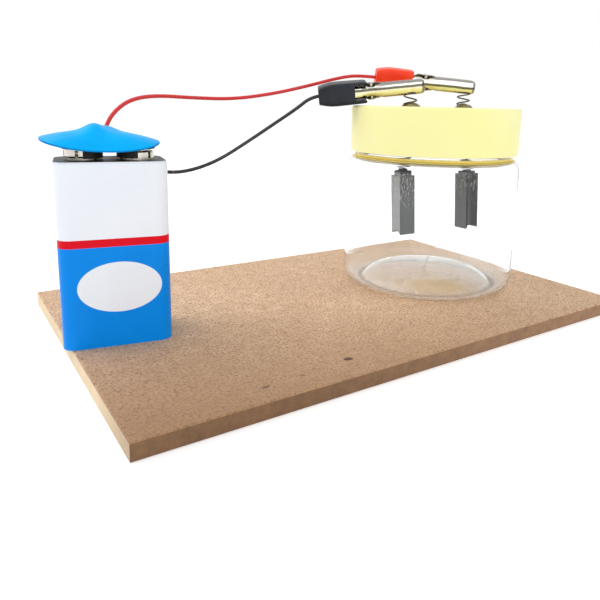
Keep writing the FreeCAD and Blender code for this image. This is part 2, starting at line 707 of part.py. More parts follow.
def make_cover():
    """Soft vinyl cover: an arched skin with an oblong wall inside that sits on the strip."""
    half_x = cover_long.value / 2
    half_y = cover_wide.value / 2
    middle = cover_shift.value
    column_count = 24
    line_count = 16
    margin = cover_over.value
    grid = []
    for i in range(column_count + 1):
        x = middle + half_x * margin * (2.0 * i / column_count - 1)
        row = []
        for j in range(line_count + 1):
            y = half_y * margin * (2.0 * j / line_count - 1)
            row.append(Vector(x, y, cover_height(x, y)))
        grid.append(row)
    surface = Part.BSplineSurface()
    surface.interpolate(grid)
    top = surface.toShape()
    deep = Vector(0, 0, -4 * cover_crown.value)
    rim = oblong_face(half_x, half_y)
    rim.translate(Vector(middle, 0, deep.z))
    skin = top.extrude(Vector(0, 0, -cover_skin.value)).common(rim.extrude(deep * -2))
    ring = oblong_face(strip_long.value / 2, strip_wide.value / 2).extrude(deep * -1)
    hole = oblong_face(strip_long.value / 2 - cover_wall.value, strip_wide.value / 2 - cover_wall.value)
    mouth = cover_mouth.value
    slot = Part.makeBox(2 * mouth, strip_wide.value, wire_wide.value * 1.4, Vector(-mouth, 0, 0))
    wall = ring.cut(hole.extrude(deep * -1)).cut(slot).common(top.extrude(deep))
    cover = doc.addObject("Part::Feature", "connector_cover")
    cover.Label = "connector_cover"
    cover.Shape = skin.fuse(wall).removeSplitter()
    lift = (board_thick + strip_top).value
    cover.Placement = Placement(Vector(battery_x.value, battery_y.value, lift),
                                Rotation(Vector(0, 0, 1), battery_turn.value))


def oblong_face(half_x, half_y):
    """A flat face with round ends."""
    flat = half_x - half_y
    side = Part.LineSegment(Vector(-flat, -half_y, 0), Vector(flat, -half_y, 0))
    other = Part.LineSegment(Vector(flat, half_y, 0), Vector(-flat, half_y, 0))
    right = Part.Arc(Vector(flat, -half_y, 0), Vector(half_x, 0, 0), Vector(flat, half_y, 0))
    left = Part.Arc(Vector(-flat, half_y, 0), Vector(-half_x, 0, 0), Vector(-flat, -half_y, 0))
    return Part.Face(Part.Wire([side.toShape(), right.toShape(), other.toShape(), left.toShape()]))


# ---------------------------------------------------------------- jar and lid

def jar_section():
    """Half section of the jar, up its outside from the middle of the bottom and back down the inside."""
    foot_in = jar_radius - jar_heel - jar_foot
    push_radius = foot_in - push_slope
    foot_out = jar_radius - jar_heel
    body_top = jar_shoulder_z - jar_shoulder
    shoulder_in = jar_radius - jar_shoulder
    bead = neck_radius + neck_bead
    bead_top = jar_shoulder_z + neck_bead
    neck_in = neck_radius - jar_wall
    outside = [(0, push_rise), (push_flat, push_rise, push_crown, -1),
               (push_radius, push_rise - push_dish, push_side, -1), (foot_in, 0), (foot_out, 0, jar_heel, 1),
               (jar_radius, jar_heel), (jar_radius, body_top, jar_shoulder, 1), (shoulder_in, jar_shoulder_z),
               (bead, jar_shoulder_z), (bead, bead_top), (neck_radius, bead_top)]
    for number in range(2):
        middle = rib_low + rib_step * number
        outside += [(neck_radius, middle - rib_reach), (neck_radius + rib_reach, middle - rib_reach / 4),
                    (neck_radius + rib_reach, middle + rib_reach / 4), (neck_radius, middle + rib_reach)]
    rim = [(neck_radius, jar_rim), (neck_in, jar_rim), (neck_in, jar_shoulder_z - jar_wall),
           (shoulder_in, jar_shoulder_z - jar_wall, jar_shoulder - jar_wall, -1),
           (jar_radius - jar_wall, body_top), (jar_radius - jar_wall, jar_heel, jar_heel - jar_wall, -1),
           (foot_out, jar_wall), (foot_in + jar_wall / 2, jar_wall, push_side + jar_wall, 1),
           (push_radius, push_rise - push_dish + jar_wall, push_crown + jar_wall, 1),
           (push_flat, push_rise + jar_wall), (0, push_rise + jar_wall)]
    return outside + rim


def make_jar():
    turned("jar_body", jar_section(), jar_x, jar_y, board_thick)


def make_lid():
    """Screw lid: plain cup with two holes for the springs."""
    outer = lid_radius
    inner = lid_radius - lid_side
    bottom = lid_under + lid_top - lid_skirt
    top = lid_under + lid_top
    cup = [(0, lid_under), (inner, lid_under), (inner, bottom), (outer, bottom),
           (outer, top - lid_edge, lid_edge, 1), (outer - lid_edge, top), (0, top)]
    body = turned("jar_lid", cup, jar_x, jar_y, board_thick)
    for x, y in ((left_x, left_y), (right_x, right_y)):
        hole = disc(body, "XY_Plane", coil_wide / 2 + coil_room, lid_under - lid_top, x - jar_x, y - jar_y)
        pocket(body, hole, lid_top * 3)


# ---------------------------------------------------------------- springs, glue and carbon blocks

def helix(body, sketch, height, turns, downward=False, left_handed=False):
    """Winds a sketch round its vertical axis."""
    feature = body.newObject("PartDesign::AdditiveHelix", "Coil")
    feature.Profile = sketch
    feature.ReferenceAxis = (sketch, ["V_Axis"])
    feature.Mode = "height-turns-angle"
    bind(feature, "Height", height)
    bind(feature, "Turns", turns)
    feature.LeftHanded = left_handed
    feature.Reversed = downward
    return feature


def wire_section(body, plane, radius, lift_up, half):
    """Square wire section, standing on its corner, at a radius from the vertical axis."""
    return outline(body, plane, [(radius, lift_up - half), (radius + half, lift_up), (radius, lift_up + half),
                                 (radius - half, lift_up)])


def clip_place(x, y, z, slope):
    """Frame of a clip: X to the tip, Y across the jaws, Z up; its origin is the rear of the boot."""
    turn = Rotation(clip_yaw.value, -slope.value, clip_roll.value)
    return Placement(Vector(x.value, y.value, (lid_z + z).value), turn)


def make_spring(side, x, y, top_x, top_y, clip, slope):
    """Coil spring: a few turns stand above the lid, the rest hang and lean out to the carbon block."""
    end_gap = coil_wire * 1.9
    lean_x = top_x.value - x.value
    lean_y = top_y.value - y.value
    drop = (lid_under - brush_top - head_high - end_gap).value
    lean = math.hypot(lean_x, lean_y)
    heading = math.degrees(math.atan2(lean_y, lean_x)) + 90.0
    body = new_body("%s_spring" % side, x, y, board_thick + lid_under)
    body.Placement.Rotation = Rotation(Vector(0, 0, 1), heading)
    middle = coil_wide / 2 - coil_wire / 2
    half = coil_wire * diamond_share
    upper = wire_section(body, "XZ_Plane", middle, 0, half)
    part_turn = ((clip_yaw.value + clip_roll.value - heading) / full_turn) % 1.0
    rise = lid_top + coil_above - coil_wire
    helix(body, upper, rise, coil_turns_above + part_turn)
    lower = wire_section(body, "XZ_Plane", middle, 0, half)
    hang = math.degrees(math.atan2(lean, drop))
    lower.AttachmentOffset = Placement(Vector(0, 0, 0), Rotation(Vector(1, 0, 0), hang))
    length = math.hypot(lean, drop)
    helix(body, lower, length, length / coil_pitch.value, downward=True)
    stub = body.newObject("PartDesign::AdditiveBox", "EndWire")
    bind(stub, "Length", coil_wire)
    bind(stub, "Width", coil_wire)
    rise_rate = math.tan(math.radians(slope.value))
    level = math.hypot(x.value - clip.Base.x, y.value - clip.Base.y)
    reach = level / math.cos(math.radians(slope.value)) + middle.value - coil_wire.value / 2
    axis_above = clip.Base.z - lid_z.value + level * rise_rate
    below = axis_above - coil_above.value + coil_wire.value * 1.5
    bind(stub, "Height", stub_top + below)
    local = Vector(reach, -coil_wire.value / 2, -below)
    here = Placement(Vector(x.value, y.value, (board_thick + lid_under).value), body.Placement.Rotation)
    stub.Placement = here.inverse() * clip * Placement(local, Rotation())


def make_glue(side, x, y, turn):
    """Glue round a spring: two flat domes run together."""
    body = new_body("%s_glue" % side, x, y, lid_z, turn)
    for offset, share in ((0, 1.0), (glue_shift, glue_share)):
        wide = glue_wide * share
        high = glue_high * share
        radius = (wide * wide + high * high) / (2 * high)
        sketch = outline(body, "XZ_Plane", [(0, 0), (wide, 0, radius, 1), (0, high)])
        bind(sketch, "AttachmentOffset.Base.x", offset)
        revolve(body, sketch)


def make_electrode(side, top_x, top_y, low_x, low_y, turn):
    """Carbon motor brush: a square block with a head and spring seat, a groove down one side, a hollow foot."""
    body = new_body("%s_electrode" % side, top_x, top_y, board_thick + brush_top)
    axis = Vector(top_x.value - low_x.value, top_y.value - low_y.value, brush_high.value)
    body.Placement.Rotation = Rotation(Vector(0, 0, 1), axis) * Rotation(Vector(0, 0, 1), turn.value)
    half = brush_side / 2
    notch = brush_groove / 2
    block = [(-half, -half), (groove_shift - notch, -half), (groove_shift, -half + notch),
             (groove_shift + notch, -half), (half, -half), (half, half), (-half, half)]
    pad(body, outline(body, "XY_Plane", block, -brush_high), brush_high)
    foot_radius = (half * half + brush_notch * brush_notch) / (2 * brush_notch)
    below = -brush_high - brush_notch
    foot = outline(body, "XZ_Plane", [(-half, below), (half, below), (half, -brush_high, foot_radius, 1),
                                      (0, -brush_high + brush_notch, foot_radius, 1), (-half, -brush_high)])
    pocket(body, foot, brush_side * 3, both=True)
    head = head_side / 2
    square = [(-head, -head), (head, -head), (head, head), (-head, head)]
    pad(body, outline(body, "XY_Plane", square), head_high)
    seat = coil_wide / 2 - coil_wire - boss_clear
    pad(body, disc(body, "XY_Plane", seat, head_high), boss_high)


# ---------------------------------------------------------------- crocodile clips

def clip_body(label, clip, x, y, z):
    """A body in a clip's frame."""
    body = doc.addObject("PartDesign::Body", label)
    body.Label = label
    body.Placement = clip
    bind(body, "Placement.Base.x", x)
    bind(body, "Placement.Base.y", y)
    bind(body, "Placement.Base.z", lid_z + z)
    return body


def mirrored(corners, side):
    """Corners on the +1 side, or their mirror image with the arcs turned the other way."""
    flipped = []
    for corner in corners:
        if len(corner) == 2:
            flipped.append((corner[0] * side, corner[1]))
        else:
            flipped.append((corner[0] * side, corner[1], corner[2], corner[3] * side))
    return flipped


def shell_section(body, side, at, half, deep, bend_share):
    """U-shaped section of a jaw, open toward the other jaw."""
    bend = half * bend_share
    inner = bend - jaw_sheet
    low = [(jaw_gap, -half), (deep - bend, -half, bend, 1), (deep, bend - half), (deep, half - bend, bend, 1),
           (deep - bend, half), (jaw_gap, half), (jaw_gap, half - jaw_sheet),
           (deep - bend, half - jaw_sheet, inner, -1), (deep - jaw_sheet, half - bend),
           (deep - jaw_sheet, bend - half, inner, -1),
           (deep - bend, jaw_sheet - half), (jaw_gap, jaw_sheet - half)]
    return outline(body, "YZ_Plane", mirrored(low, side), at)


def solid_section(body, side, at, half, deep):
    """Filled section of a jaw's rounded tip."""
    bend = half * jaw_round
    low = [(jaw_gap, -half), (deep - bend, -half, bend, 1), (deep, bend - half), (deep, half - bend, bend, 1),
           (deep - bend, half), (jaw_gap, half)]
    return outline(body, "YZ_Plane", mirrored(low, side), at)


def make_jaw(label, clip, x, y, z, side, ear_half):
    """One half of a crocodile clip: handle, pivot ears, channel-shaped jaw with teeth, closed tip."""
    body = clip_body(label, clip, x, y, z)
    tip_base = jaw_tip - tip_long
    root_deep = jaw_mid_deep * root_share
    loft(body, [shell_section(body, side, ear_at - ear_back, ear_half, root_deep, ear_round),
                shell_section(body, side, ear_at + ear_front, ear_half, jaw_mid_deep, ear_round),
                shell_section(body, side, ear_at + jaw_from, jaw_mid_half, jaw_mid_deep, jaw_round),
                shell_section(body, side, tip_base, jaw_tip_half, jaw_tip_deep, jaw_round)])
    tip_deep = jaw_gap + (jaw_tip_deep - jaw_gap) * tip_share
    loft(body, [solid_section(body, side, tip_base, jaw_tip_half, jaw_tip_deep),
                solid_section(body, side, jaw_tip, jaw_tip_half * tip_share, tip_deep)])
    root_at = jaw_gap + jaw_sheet
    ear = [(root_at, ear_at - ear_radius), (0, ear_at - ear_radius, ear_radius, 1),
           (-ear_radius, ear_at, ear_radius, 1), (0, ear_at + ear_radius), (root_at, ear_at + ear_radius)]
    swapped = [(corner[1], corner[0] * side) + ((corner[2], side) if len(corner) > 2 else ()) for corner in ear]
    plate = pad(body, outline(body, "XY_Plane", swapped, ear_half - jaw_sheet), jaw_sheet)
    mirror(body, [plate], "XY_Plane")
    pocket(body, disc(body, "XY_Plane", pin_wide / 2 + pin_fit, 0, ear_at, 0), ear_outer * 3, both=True)
    bend_at = ear_at - handle_bend
    root = ear_at - handle_root
    inside = handle_out - jaw_sheet
    handle = [(root, root_deep * side), (bend_at, handle_out * side), (handle_end, handle_out * side),
              (handle_end, inside * side), (bend_at - jaw_sheet / 2, inside * side),
              (root, (root_deep - jaw_sheet) * side)]
    pad(body, outline(body, "XY_Plane", handle), handle_half * 2, both=True)
    first = ear_at + tooth_from + (tooth_pitch / 2 if side < 0 else 0)
    edge = (jaw_gap - tooth_over) * side
    notch = [(first, edge), (first + tooth_pitch / 2, (jaw_gap + tooth_deep) * side),
             (first + tooth_pitch, edge)]
    sketch = outline(body, "XY_Plane", notch)
    cut = pocket(body, sketch, ear_outer * 3, both=True)
    along(body, [cut], sketch, tooth_pitch, tooth_count)


def make_pin(label, clip, x, y, z):
    """Pivot pin with a rivet head at each end."""
    body = clip_body(label, clip, x, y, z)
    shoulder = ear_outer + pin_play
    end = shoulder + pin_cap
    pin = [(0, -end), (pin_head / 2, -end), (pin_head / 2, -shoulder), (pin_wide / 2, -shoulder),
           (pin_wide / 2, shoulder), (pin_head / 2, shoulder), (pin_head / 2, end), (0, end)]
    sketch = outline(body, "XZ_Plane", pin)
    bind(sketch, "AttachmentOffset.Base.x", ear_at)
    revolve(body, sketch)


def make_clip_spring(label, clip, x, y, z):
    """Torsion spring on the pin, its arms pressing the handles apart."""
    body = clip_body(label, clip, x, y, z)
    half = coil_arm / 2
    middle = pin_wide / 2 + coil_arm_room + half
    rise = coil_arm * coil_arm_pitch * coil_arm_turns
    low = -rise / 2
    square = [(middle - half, low - half), (middle + half, low - half), (middle + half, low + half),
              (middle - half, low + half)]
    helix(body, outline(body, "YZ_Plane", square, ear_at), rise, coil_arm_turns, left_handed=True)
    inner = handle_out - jaw_sheet - arm_clear
    for side, height in ((1, low), (-1, low + rise)):
        arm = [(ear_at, (middle - half) * side), (ear_at - arm_long, (inner - coil_arm) * side),
               (ear_at - arm_long, inner * side), (ear_at, (middle + half) * side)]
        pad(body, outline(body, "XY_Plane", arm, height - half), coil_arm)


def boot_section(body, at, half_deep, half_high, corner):
    """Rounded section across a boot."""
    return outline(body, "YZ_Plane", round_box(half_deep, half_high, corner), at)


def make_boot(label, clip, x, y, z, upper_tongue=None):
    """Soft vinyl boot: a tapered sleeve with a lead hole, side notches and a tongue above and below."""
    body = clip_body(label, clip, x, y, z)
    deep = boot_half_deep
    loft(body, [boot_section(body, 0, deep * 0.86, boot_half_rear * 0.85, boot_corner),
                boot_section(body, boot_swell, deep * 0.95, boot_half_rear, boot_corner),
                boot_section(body, boot_notch, deep, boot_half_high, boot_corner),
                boot_section(body, boot_long, deep * 0.94, boot_half_high, boot_corner)])
    inner = boot_corner - boot_wall
    closed = boot_wall + boot_end
    beyond = boot_long + boot_swell
    hollow_loft(body, [boot_section(body, closed, deep * 0.95 - boot_wall, boot_half_rear - boot_wall, inner),
                       boot_section(body, boot_notch, deep - boot_wall, boot_half_high - boot_wall, inner),
                       boot_section(body, beyond, deep - boot_wall, boot_half_high - boot_wall, inner)])
    pocket(body, disc(body, "YZ_Plane", wire_wide / 2 + wire_room, -boot_wall), boot_wall * 4)
    lips = boot_half_high - boot_wall - boot_slit
    notch = [(boot_notch, -lips), (beyond, -lips), (beyond, lips), (boot_notch, lips)]
    pocket(body, outline(body, "XZ_Plane", notch), boot_half_deep * 4, both=True)
    if upper_tongue is not None:
        start = boot_notch + upper_tongue
        short = [(start, 0), (beyond, 0), (beyond, boot_half_high * 2), (start, boot_half_high * 2)]
        pocket(body, outline(body, "XZ_Plane", short), boot_half_deep * 4, both=True)


def make_clip(colour, x, y, z, slope, upper_tongue=None):
    """All pieces of one crocodile clip; returns the clip's frame."""
    clip = clip_place(x, y, z, slope)
    make_jaw("%s_clip_fixed_jaw" % colour, clip, x, y, z, 1, ear_outer)
    make_jaw("%s_clip_moving_jaw" % colour, clip, x, y, z, -1, ear_inner)
    make_pin("%s_clip_pin" % colour, clip, x, y, z)
    make_clip_spring("%s_clip_spring" % colour, clip, x, y, z)
    make_boot("%s_clip_boot" % colour, clip, x, y, z, upper_tongue)
    return clip


# ---------------------------------------------------------------- leads

# Route points of the leads, from the solder domes out under the cover's rear edge, across and into the boots.
red_route = [(-71.6, 4.7, 54.75), (-69.5, 6.9, 54.75), (-67.1, 9.9, 54.9), (-65.9, 13.6, 57.2),
             (-63.2, 15.2, 61.4), (-57.8, 18.0, 65.0), (-49.0, 23.0, 66.4), (-35.5, 28.5, 66.0),
             (-20.5, 31.0, 65.9), (-6.0, 30.2, 68.0), (6.0, 27.0, 71.0), (14.5, 23.4, 73.6),
             (20.2, 20.5, 75.0), (25.5, 17.3, 74.9), (29.8, 14.4, 74.5)]
black_route = [(-63.2, 3.0, 54.75), (-64.3, 5.6, 54.75), (-65.0, 9.1, 54.8), (-64.6, 13.4, 54.3),
               (-61.6, 17.6, 51.4), (-56.6, 20.8, 47.4), (-48.2, 24.0, 43.9), (-38.2, 28.2, 42.9),
               (-26.5, 30.3, 45.7), (-16.0, 29.0, 52.0), (-7.6, 25.6, 58.2), (-1.5, 21.2, 63.4),
               (2.1, 17.7, 67.5), (6.4, 14.8, 68.1)]


def lead_path(points):
    """Straight runs joined by tangent arcs; returns the wire and the arc radii."""
    corners = [Vector(*point) for point in points]
    edges = []
    radii = []
    start = corners[0]
    for before, here, after in zip(corners, corners[1:], corners[2:]):
        back = before - here
        on = after - here
        reach = 0.45 * min(back.Length, on.Length)
        half_bend = (math.pi - back.getAngle(on)) / 2
        radius = reach / math.tan(half_bend)
        back.normalize()
        on.normalize()
        first = here + back * reach
        last = here + on * reach
        towards = (back + on).normalize()
        middle = here + towards * (radius / math.cos(half_bend) - radius)
        edges.append(Part.LineSegment(start, first).toShape())
        edges.append(Part.Arc(first, middle, last).toShape())
        radii.append(radius)
        start = last
    edges.append(Part.LineSegment(start, corners[-1]).toShape())
    return Part.Wire(edges), radii


def make_lead(label, points):
    """A round lead swept along its route."""
    path, radii = lead_path(points)
    along_start = Vector(*points[1]) - Vector(*points[0])
    circle = Part.Circle(Vector(*points[0]), along_start, wire_wide.value / 2).toShape()
    tube = path.makePipeShell([Part.Wire([circle])], True, False, 2)
    lead = doc.addObject("Part::Feature", label)
    lead.Label = label
    lead.Shape = tube
    area = math.pi * wire_wide.value ** 2 / 4
    print(label, "length", round(path.Length, 1), "radii", [round(radius, 1) for radius in radii],
          "volume/section/length", round(tube.Volume / area / path.Length, 4))


make_board()
make_jacket()
make_end_plates()
make_cells()
make_cell_contacts()
make_snaps()
make_strip()
make_solder_domes()
make_cover()
make_jar()
make_lid()
black_clip = make_clip("black", black_x, black_y, black_z, black_slope)
red_clip = make_clip("red", red_x, red_y, red_z, red_slope, red_tongue)
make_spring("left", left_x, left_y, left_top_x, left_top_y, black_clip, black_slope)
make_spring("right", right_x, right_y, right_top_x, right_top_y, red_clip, red_slope)
make_glue("left", left_x, left_y, clip_yaw)
make_glue("right", right_x, right_y, clip_yaw)
make_electrode("left", left_top_x, left_top_y, left_x, left_y, left_turn)
make_electrode("right", right_top_x, right_top_y, right_low_x, right_low_y, right_turn)
make_lead("red_wire", red_route)
make_lead("black_wire", black_route)
doc.recompute()

broken = [item.Label for item in doc.Objects if {"Invalid", "Error"} & set(item.State)]
if broken:
    raise RuntimeError("features that did not build: %s" % ", ".join(broken))
pieces = [item for item in doc.Objects if item.TypeId in ("PartDesign::Body", "Part::Feature")]
for piece in pieces:
    if piece.Shape.isNull() or not piece.Shape.isValid() or len(piece.Shape.Solids) != 1:
        raise RuntimeError("%s is not one sound solid" % piece.Label)
os.makedirs("parts", exist_ok=True)
for piece in pieces:
    piece.Shape.exportStep("parts/%s.step" % piece.Label)
    print(piece.Label, round(piece.Shape.Volume, 2), "mm3")
print(len(pieces), "pieces")
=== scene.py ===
# %% [markdown]
# # A water-electrolysis kit
# A block battery and a clear jar stand on a fibre board. Two leads with crocodile clips join the battery's
# snap connector to two coil springs in the jar's lid, and a carbon block hangs from each spring.
# The rigid parts come from the CAD frame. This script gives them their finishes and adds what bends or was
# pressed to a free shape: the leads, the springs, the snap cover, the clips' boots and their jaws.

# %% Load the frame
import bpy
import math
from mathutils import Matrix, Vector


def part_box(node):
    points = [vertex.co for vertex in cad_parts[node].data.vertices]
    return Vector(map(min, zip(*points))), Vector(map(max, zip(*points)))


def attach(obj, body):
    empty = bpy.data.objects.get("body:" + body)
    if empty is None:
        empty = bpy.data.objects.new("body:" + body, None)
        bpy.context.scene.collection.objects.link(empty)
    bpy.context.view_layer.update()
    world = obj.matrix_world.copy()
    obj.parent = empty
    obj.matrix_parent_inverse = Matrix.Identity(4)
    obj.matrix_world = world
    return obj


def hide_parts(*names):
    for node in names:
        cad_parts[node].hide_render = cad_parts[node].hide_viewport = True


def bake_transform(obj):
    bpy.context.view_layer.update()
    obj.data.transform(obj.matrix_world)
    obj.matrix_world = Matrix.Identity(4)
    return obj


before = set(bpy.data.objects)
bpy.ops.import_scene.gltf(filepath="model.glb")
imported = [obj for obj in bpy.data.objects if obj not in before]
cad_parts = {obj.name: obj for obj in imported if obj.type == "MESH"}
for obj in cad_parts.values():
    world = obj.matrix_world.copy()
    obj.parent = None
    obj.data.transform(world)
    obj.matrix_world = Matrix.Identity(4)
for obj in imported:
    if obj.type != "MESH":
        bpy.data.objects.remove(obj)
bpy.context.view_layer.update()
mm = 0.001

# %% [markdown]
# ## Where things stand
# The frame gives each node's box in metres. A few driving places are named here once: the battery's middle
# and its turn on the board, the jar's middle and the board's top.

# %% Places
board_low, board_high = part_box("base_board")
board_top = board_high[2]
battery_middle = Vector((-67.5 * mm, 3.2 * mm, board_top))
battery_turn = math.radians(-11.3)
jar_low, jar_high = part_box("jar_body")
jar_middle = Vector(((jar_low[0] + jar_high[0]) / 2, (jar_low[1] + jar_high[1]) / 2, board_top))
lid_low, lid_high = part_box("jar_lid")
print("board top", board_top, "jar middle", tuple(round(value, 4) for value in jar_middle))

# %% [markdown]
# ## The camera
# A long narrow kit is best seen from a low corner, so that board, battery and jar overlap little. The camera
# stands at the battery's end, a little above the cover, and is turned and shifted rather than cropped.

# %% Camera
camera_data = bpy.data.cameras.new("camera")
camera_data.sensor_width = 36.0
camera_data.lens = 35.24
camera_data.shift_x = -0.0333
camera_data.shift_y = -0.1333
camera = bpy.data.objects.new("camera", camera_data)
bpy.context.scene.collection.objects.link(camera)
bpy.context.scene.camera = camera
yaw, pitch, roll = (math.radians(angle) for angle in (55.846, 11.193, 1.393))
ahead = Vector((math.cos(yaw) * math.cos(pitch), math.sin(yaw) * math.cos(pitch), -math.sin(pitch)))
level = ahead.cross(Vector((0, 0, 1))).normalized()
upward = level.cross(ahead)
right = level * math.cos(roll) + upward * math.sin(roll)
top = upward * math.cos(roll) - level * math.sin(roll)
turn = Matrix((right, top, -ahead)).transposed().to_4x4()
camera.matrix_world = Matrix.Translation((-0.106325, -0.148637, 0.065125)) @ turn
camera_data.clip_start = 0.005
print("camera looks along", tuple(round(value, 3) for value in ahead))

# %% [markdown]
# ## Shader sums as Python sums
# A finish is a sum of masks and noises. Wiring each Math node by hand hides that sum, so a small class wraps
# a socket and lets Python's own signs build the nodes.

# %% A socket that can be added and multiplied
class Amount:
    """A number that varies over a surface: a node socket that takes part in Python sums."""

    def __init__(self, finish, socket):
        self.finish = finish
        self.socket = socket

    def sum(self, operation, *terms, clamp=False):
        inputs = [term.socket if isinstance(term, Amount) else term for term in terms]
        settings = {"operation": operation, "use_clamp": clamp}
        node = self.finish.node("ShaderNodeMath", settings, dict(enumerate(inputs)))
        return Amount(self.finish, node.outputs[0])

    def __add__(self, other):
        return self.sum("ADD", self, other)

    def __sub__(self, other):
        return self.sum("SUBTRACT", self, other)

    def __rsub__(self, other):
        return self.sum("SUBTRACT", other, self)

    def __mul__(self, other):
        return self.sum("MULTIPLY", self, other)

    def __truediv__(self, other):
        return self.sum("DIVIDE", self, other)

    def __pow__(self, other):
        return self.sum("POWER", self, other)

    def size(self):
        return self.sum("ABSOLUTE", self)

    def clamped(self):
        return self.sum("ADD", self, 0.0, clamp=True)

    def lower(self, other):
        return self.sum("MINIMUM", self, other)

    def higher(self, other):
        return self.sum("MAXIMUM", self, other)

    def root(self):
        return self.sum("SQRT", self)

    def step(self, edge, soft):
        """0 below edge and 1 above it, over a soft width."""
        return ((self - (edge - soft / 2)) / soft).clamped()


# %% [markdown]
# ## One object per finish
# A finish owns a material with one Principled shader. It hands out noises, places and colour mixes, and at
# the end it plugs what varies into colour, roughness, metal and bump.

# %% A finish
class Finish:
    """A material in the making."""

    def __init__(self, name, **constants):
        self.material = bpy.data.materials.new(name)
        self.material.use_nodes = True
        self.tree = self.material.node_tree
        self.shader = self.tree.nodes["Principled BSDF"]
        for socket, value in constants.items():
            self.shader.inputs[socket.replace("_", " ")].default_value = value

    def node(self, kind, settings=None, inputs=None):
        """Any node: its settings first, then the values or links of its sockets."""
        node = self.tree.nodes.new(kind)
        for name, value in (settings or {}).items():
            setattr(node, name, value)
        for name, value in (inputs or {}).items():
            value = value.socket if isinstance(value, Amount) else value
            if isinstance(value, bpy.types.NodeSocket):
                self.tree.links.new(value, node.inputs[name])
            else:
                node.inputs[name].default_value = value
        return node

    def place(self):
        """Where a point is on the piece, in metres."""
        return self.node("ShaderNodeTexCoord").outputs["Object"]

    def axes(self, place=None):
        """The three coordinates of a place."""
        parts = self.node("ShaderNodeSeparateXYZ", {}, {0: place or self.place()})
        return [Amount(self, output) for output in parts.outputs]

    def facing(self):
        """The three parts of the surface's direction, on the piece."""
        direction = self.node("ShaderNodeTexCoord").outputs["Normal"]
        return self.axes(direction)

    def stretched(self, scale, place=None):
        """The place, stretched along each axis."""
        product = self.node("ShaderNodeVectorMath", {"operation": "MULTIPLY"}, {0: place or self.place(), 1: scale})
        return product.outputs[0]

    def noise(self, scale, detail=4.0, rough=0.55, place=None):
        inputs = {"Vector": place or self.place(), "Scale": scale, "Detail": detail, "Roughness": rough}
        return Amount(self, self.node("ShaderNodeTexNoise", {}, inputs).outputs["Fac"])

    def colour(self, mask, below, above):
        """One colour where the mask is 0 and the other where it is 1."""
        mix = self.node("ShaderNodeMix", {"data_type": "RGBA"}, {0: mask, 6: below, 7: above})
        return mix.outputs[2]

    def bump(self, height, distance, strength=1.0, under=None):
        """Relief from a height mask: distance is the depth in metres that a height of 1 stands for."""
        inputs = {"Height": height, "Distance": distance, "Strength": strength}
        if under is not None:
            inputs["Normal"] = under
        return self.node("ShaderNodeBump", {}, inputs).outputs[0]

    def wear(self, **varying):
        """Plugs what varies into the shader."""
        for name, value in varying.items():
            socket = value.socket if isinstance(value, Amount) else value
            self.tree.links.new(socket, self.shader.inputs[name.replace("_", " ")])
        return self.material


def rgb(red, green, blue):
    """A colour as it looks on screen, 0 to 255, as the linear light that a shader works with."""
    linear = [((part / 255 + 0.055) / 1.055) ** 2.4 if part > 10 else part / 255 / 12.92 for part in (red, green, blue)]
    return (*linear, 1.0)


def dress(material, *nodes):
    """Gives CAD nodes a finish through their material slots; their meshes stay as they are."""
    for name in nodes:
        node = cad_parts[name]
        if not node.material_slots:
            raise ValueError("%s has no material slot" % name)
        for slot in node.material_slots:
            slot.link = "OBJECT"
            slot.material = material
    print(material.name, "on", len(nodes), "nodes")


def new_mesh(name, points, faces, smooth=True):
    """A mesh object in the scene."""
    mesh = bpy.data.meshes.new(name)
    mesh.from_pydata(points, [], faces)
    mesh.update()
    if smooth:
        mesh.shade_smooth()
    piece = bpy.data.objects.new(name, mesh)
    bpy.context.scene.collection.objects.link(piece)
    return piece


# %% [markdown]
# ## The leads
# Thin vinyl leads are limp: they leave the cover's rear edge, bow across and drop into the clips' boots.
# A lead follows one smooth NURBS line. It is cut into two tubes in the middle.

# %% Routes of the leads
lead_wide = 1.15 * mm
red_route = [(-71.6, 4.7, 54.75), (-69.5, 6.9, 54.75), (-67.1, 9.9, 54.9), (-65.9, 13.6, 57.2),
             (-63.2, 15.2, 61.4), (-57.8, 18.0, 65.0), (-49.0, 23.0, 66.4), (-35.5, 28.5, 66.0),
             (-20.5, 31.0, 65.9), (-6.0, 30.2, 68.0), (6.0, 27.0, 71.0), (14.5, 23.4, 73.6),
             (20.2, 20.5, 75.0), (25.5, 17.3, 74.9), (29.8, 14.4, 74.5)]
black_route = [(-63.2, 3.0, 54.75), (-64.3, 5.6, 54.75), (-65.0, 9.1, 54.8), (-64.6, 13.4, 54.3),
               (-61.6, 17.6, 51.4), (-56.6, 20.8, 47.4), (-48.2, 24.0, 43.9), (-38.2, 28.2, 42.9),
               (-26.5, 30.3, 45.7), (-16.0, 29.0, 52.0), (-7.6, 25.6, 58.2), (-1.5, 21.2, 63.4),
               (2.1, 17.7, 67.5), (6.4, 14.8, 68.1)]


def smooth_line(name, route):
    """Points read from a NURBS spline whose control points are the route."""
    curve = bpy.data.curves.new(name, "CURVE")
    curve.dimensions = "3D"
    curve.resolution_u = 8
    spline = curve.splines.new("NURBS")
    spline.points.add(len(route) - 1)
    for point, place in zip(spline.points, route):
        point.co = (*(value * mm for value in place), 1.0)
    spline.order_u = 3
    spline.use_endpoint_u = True
    holder = bpy.data.objects.new(name, curve)
    mesh = bpy.data.meshes.new_from_object(holder)
    points = [vertex.co.copy() for vertex in mesh.vertices]
    bpy.data.objects.remove(holder)
    bpy.data.meshes.remove(mesh)
    return points


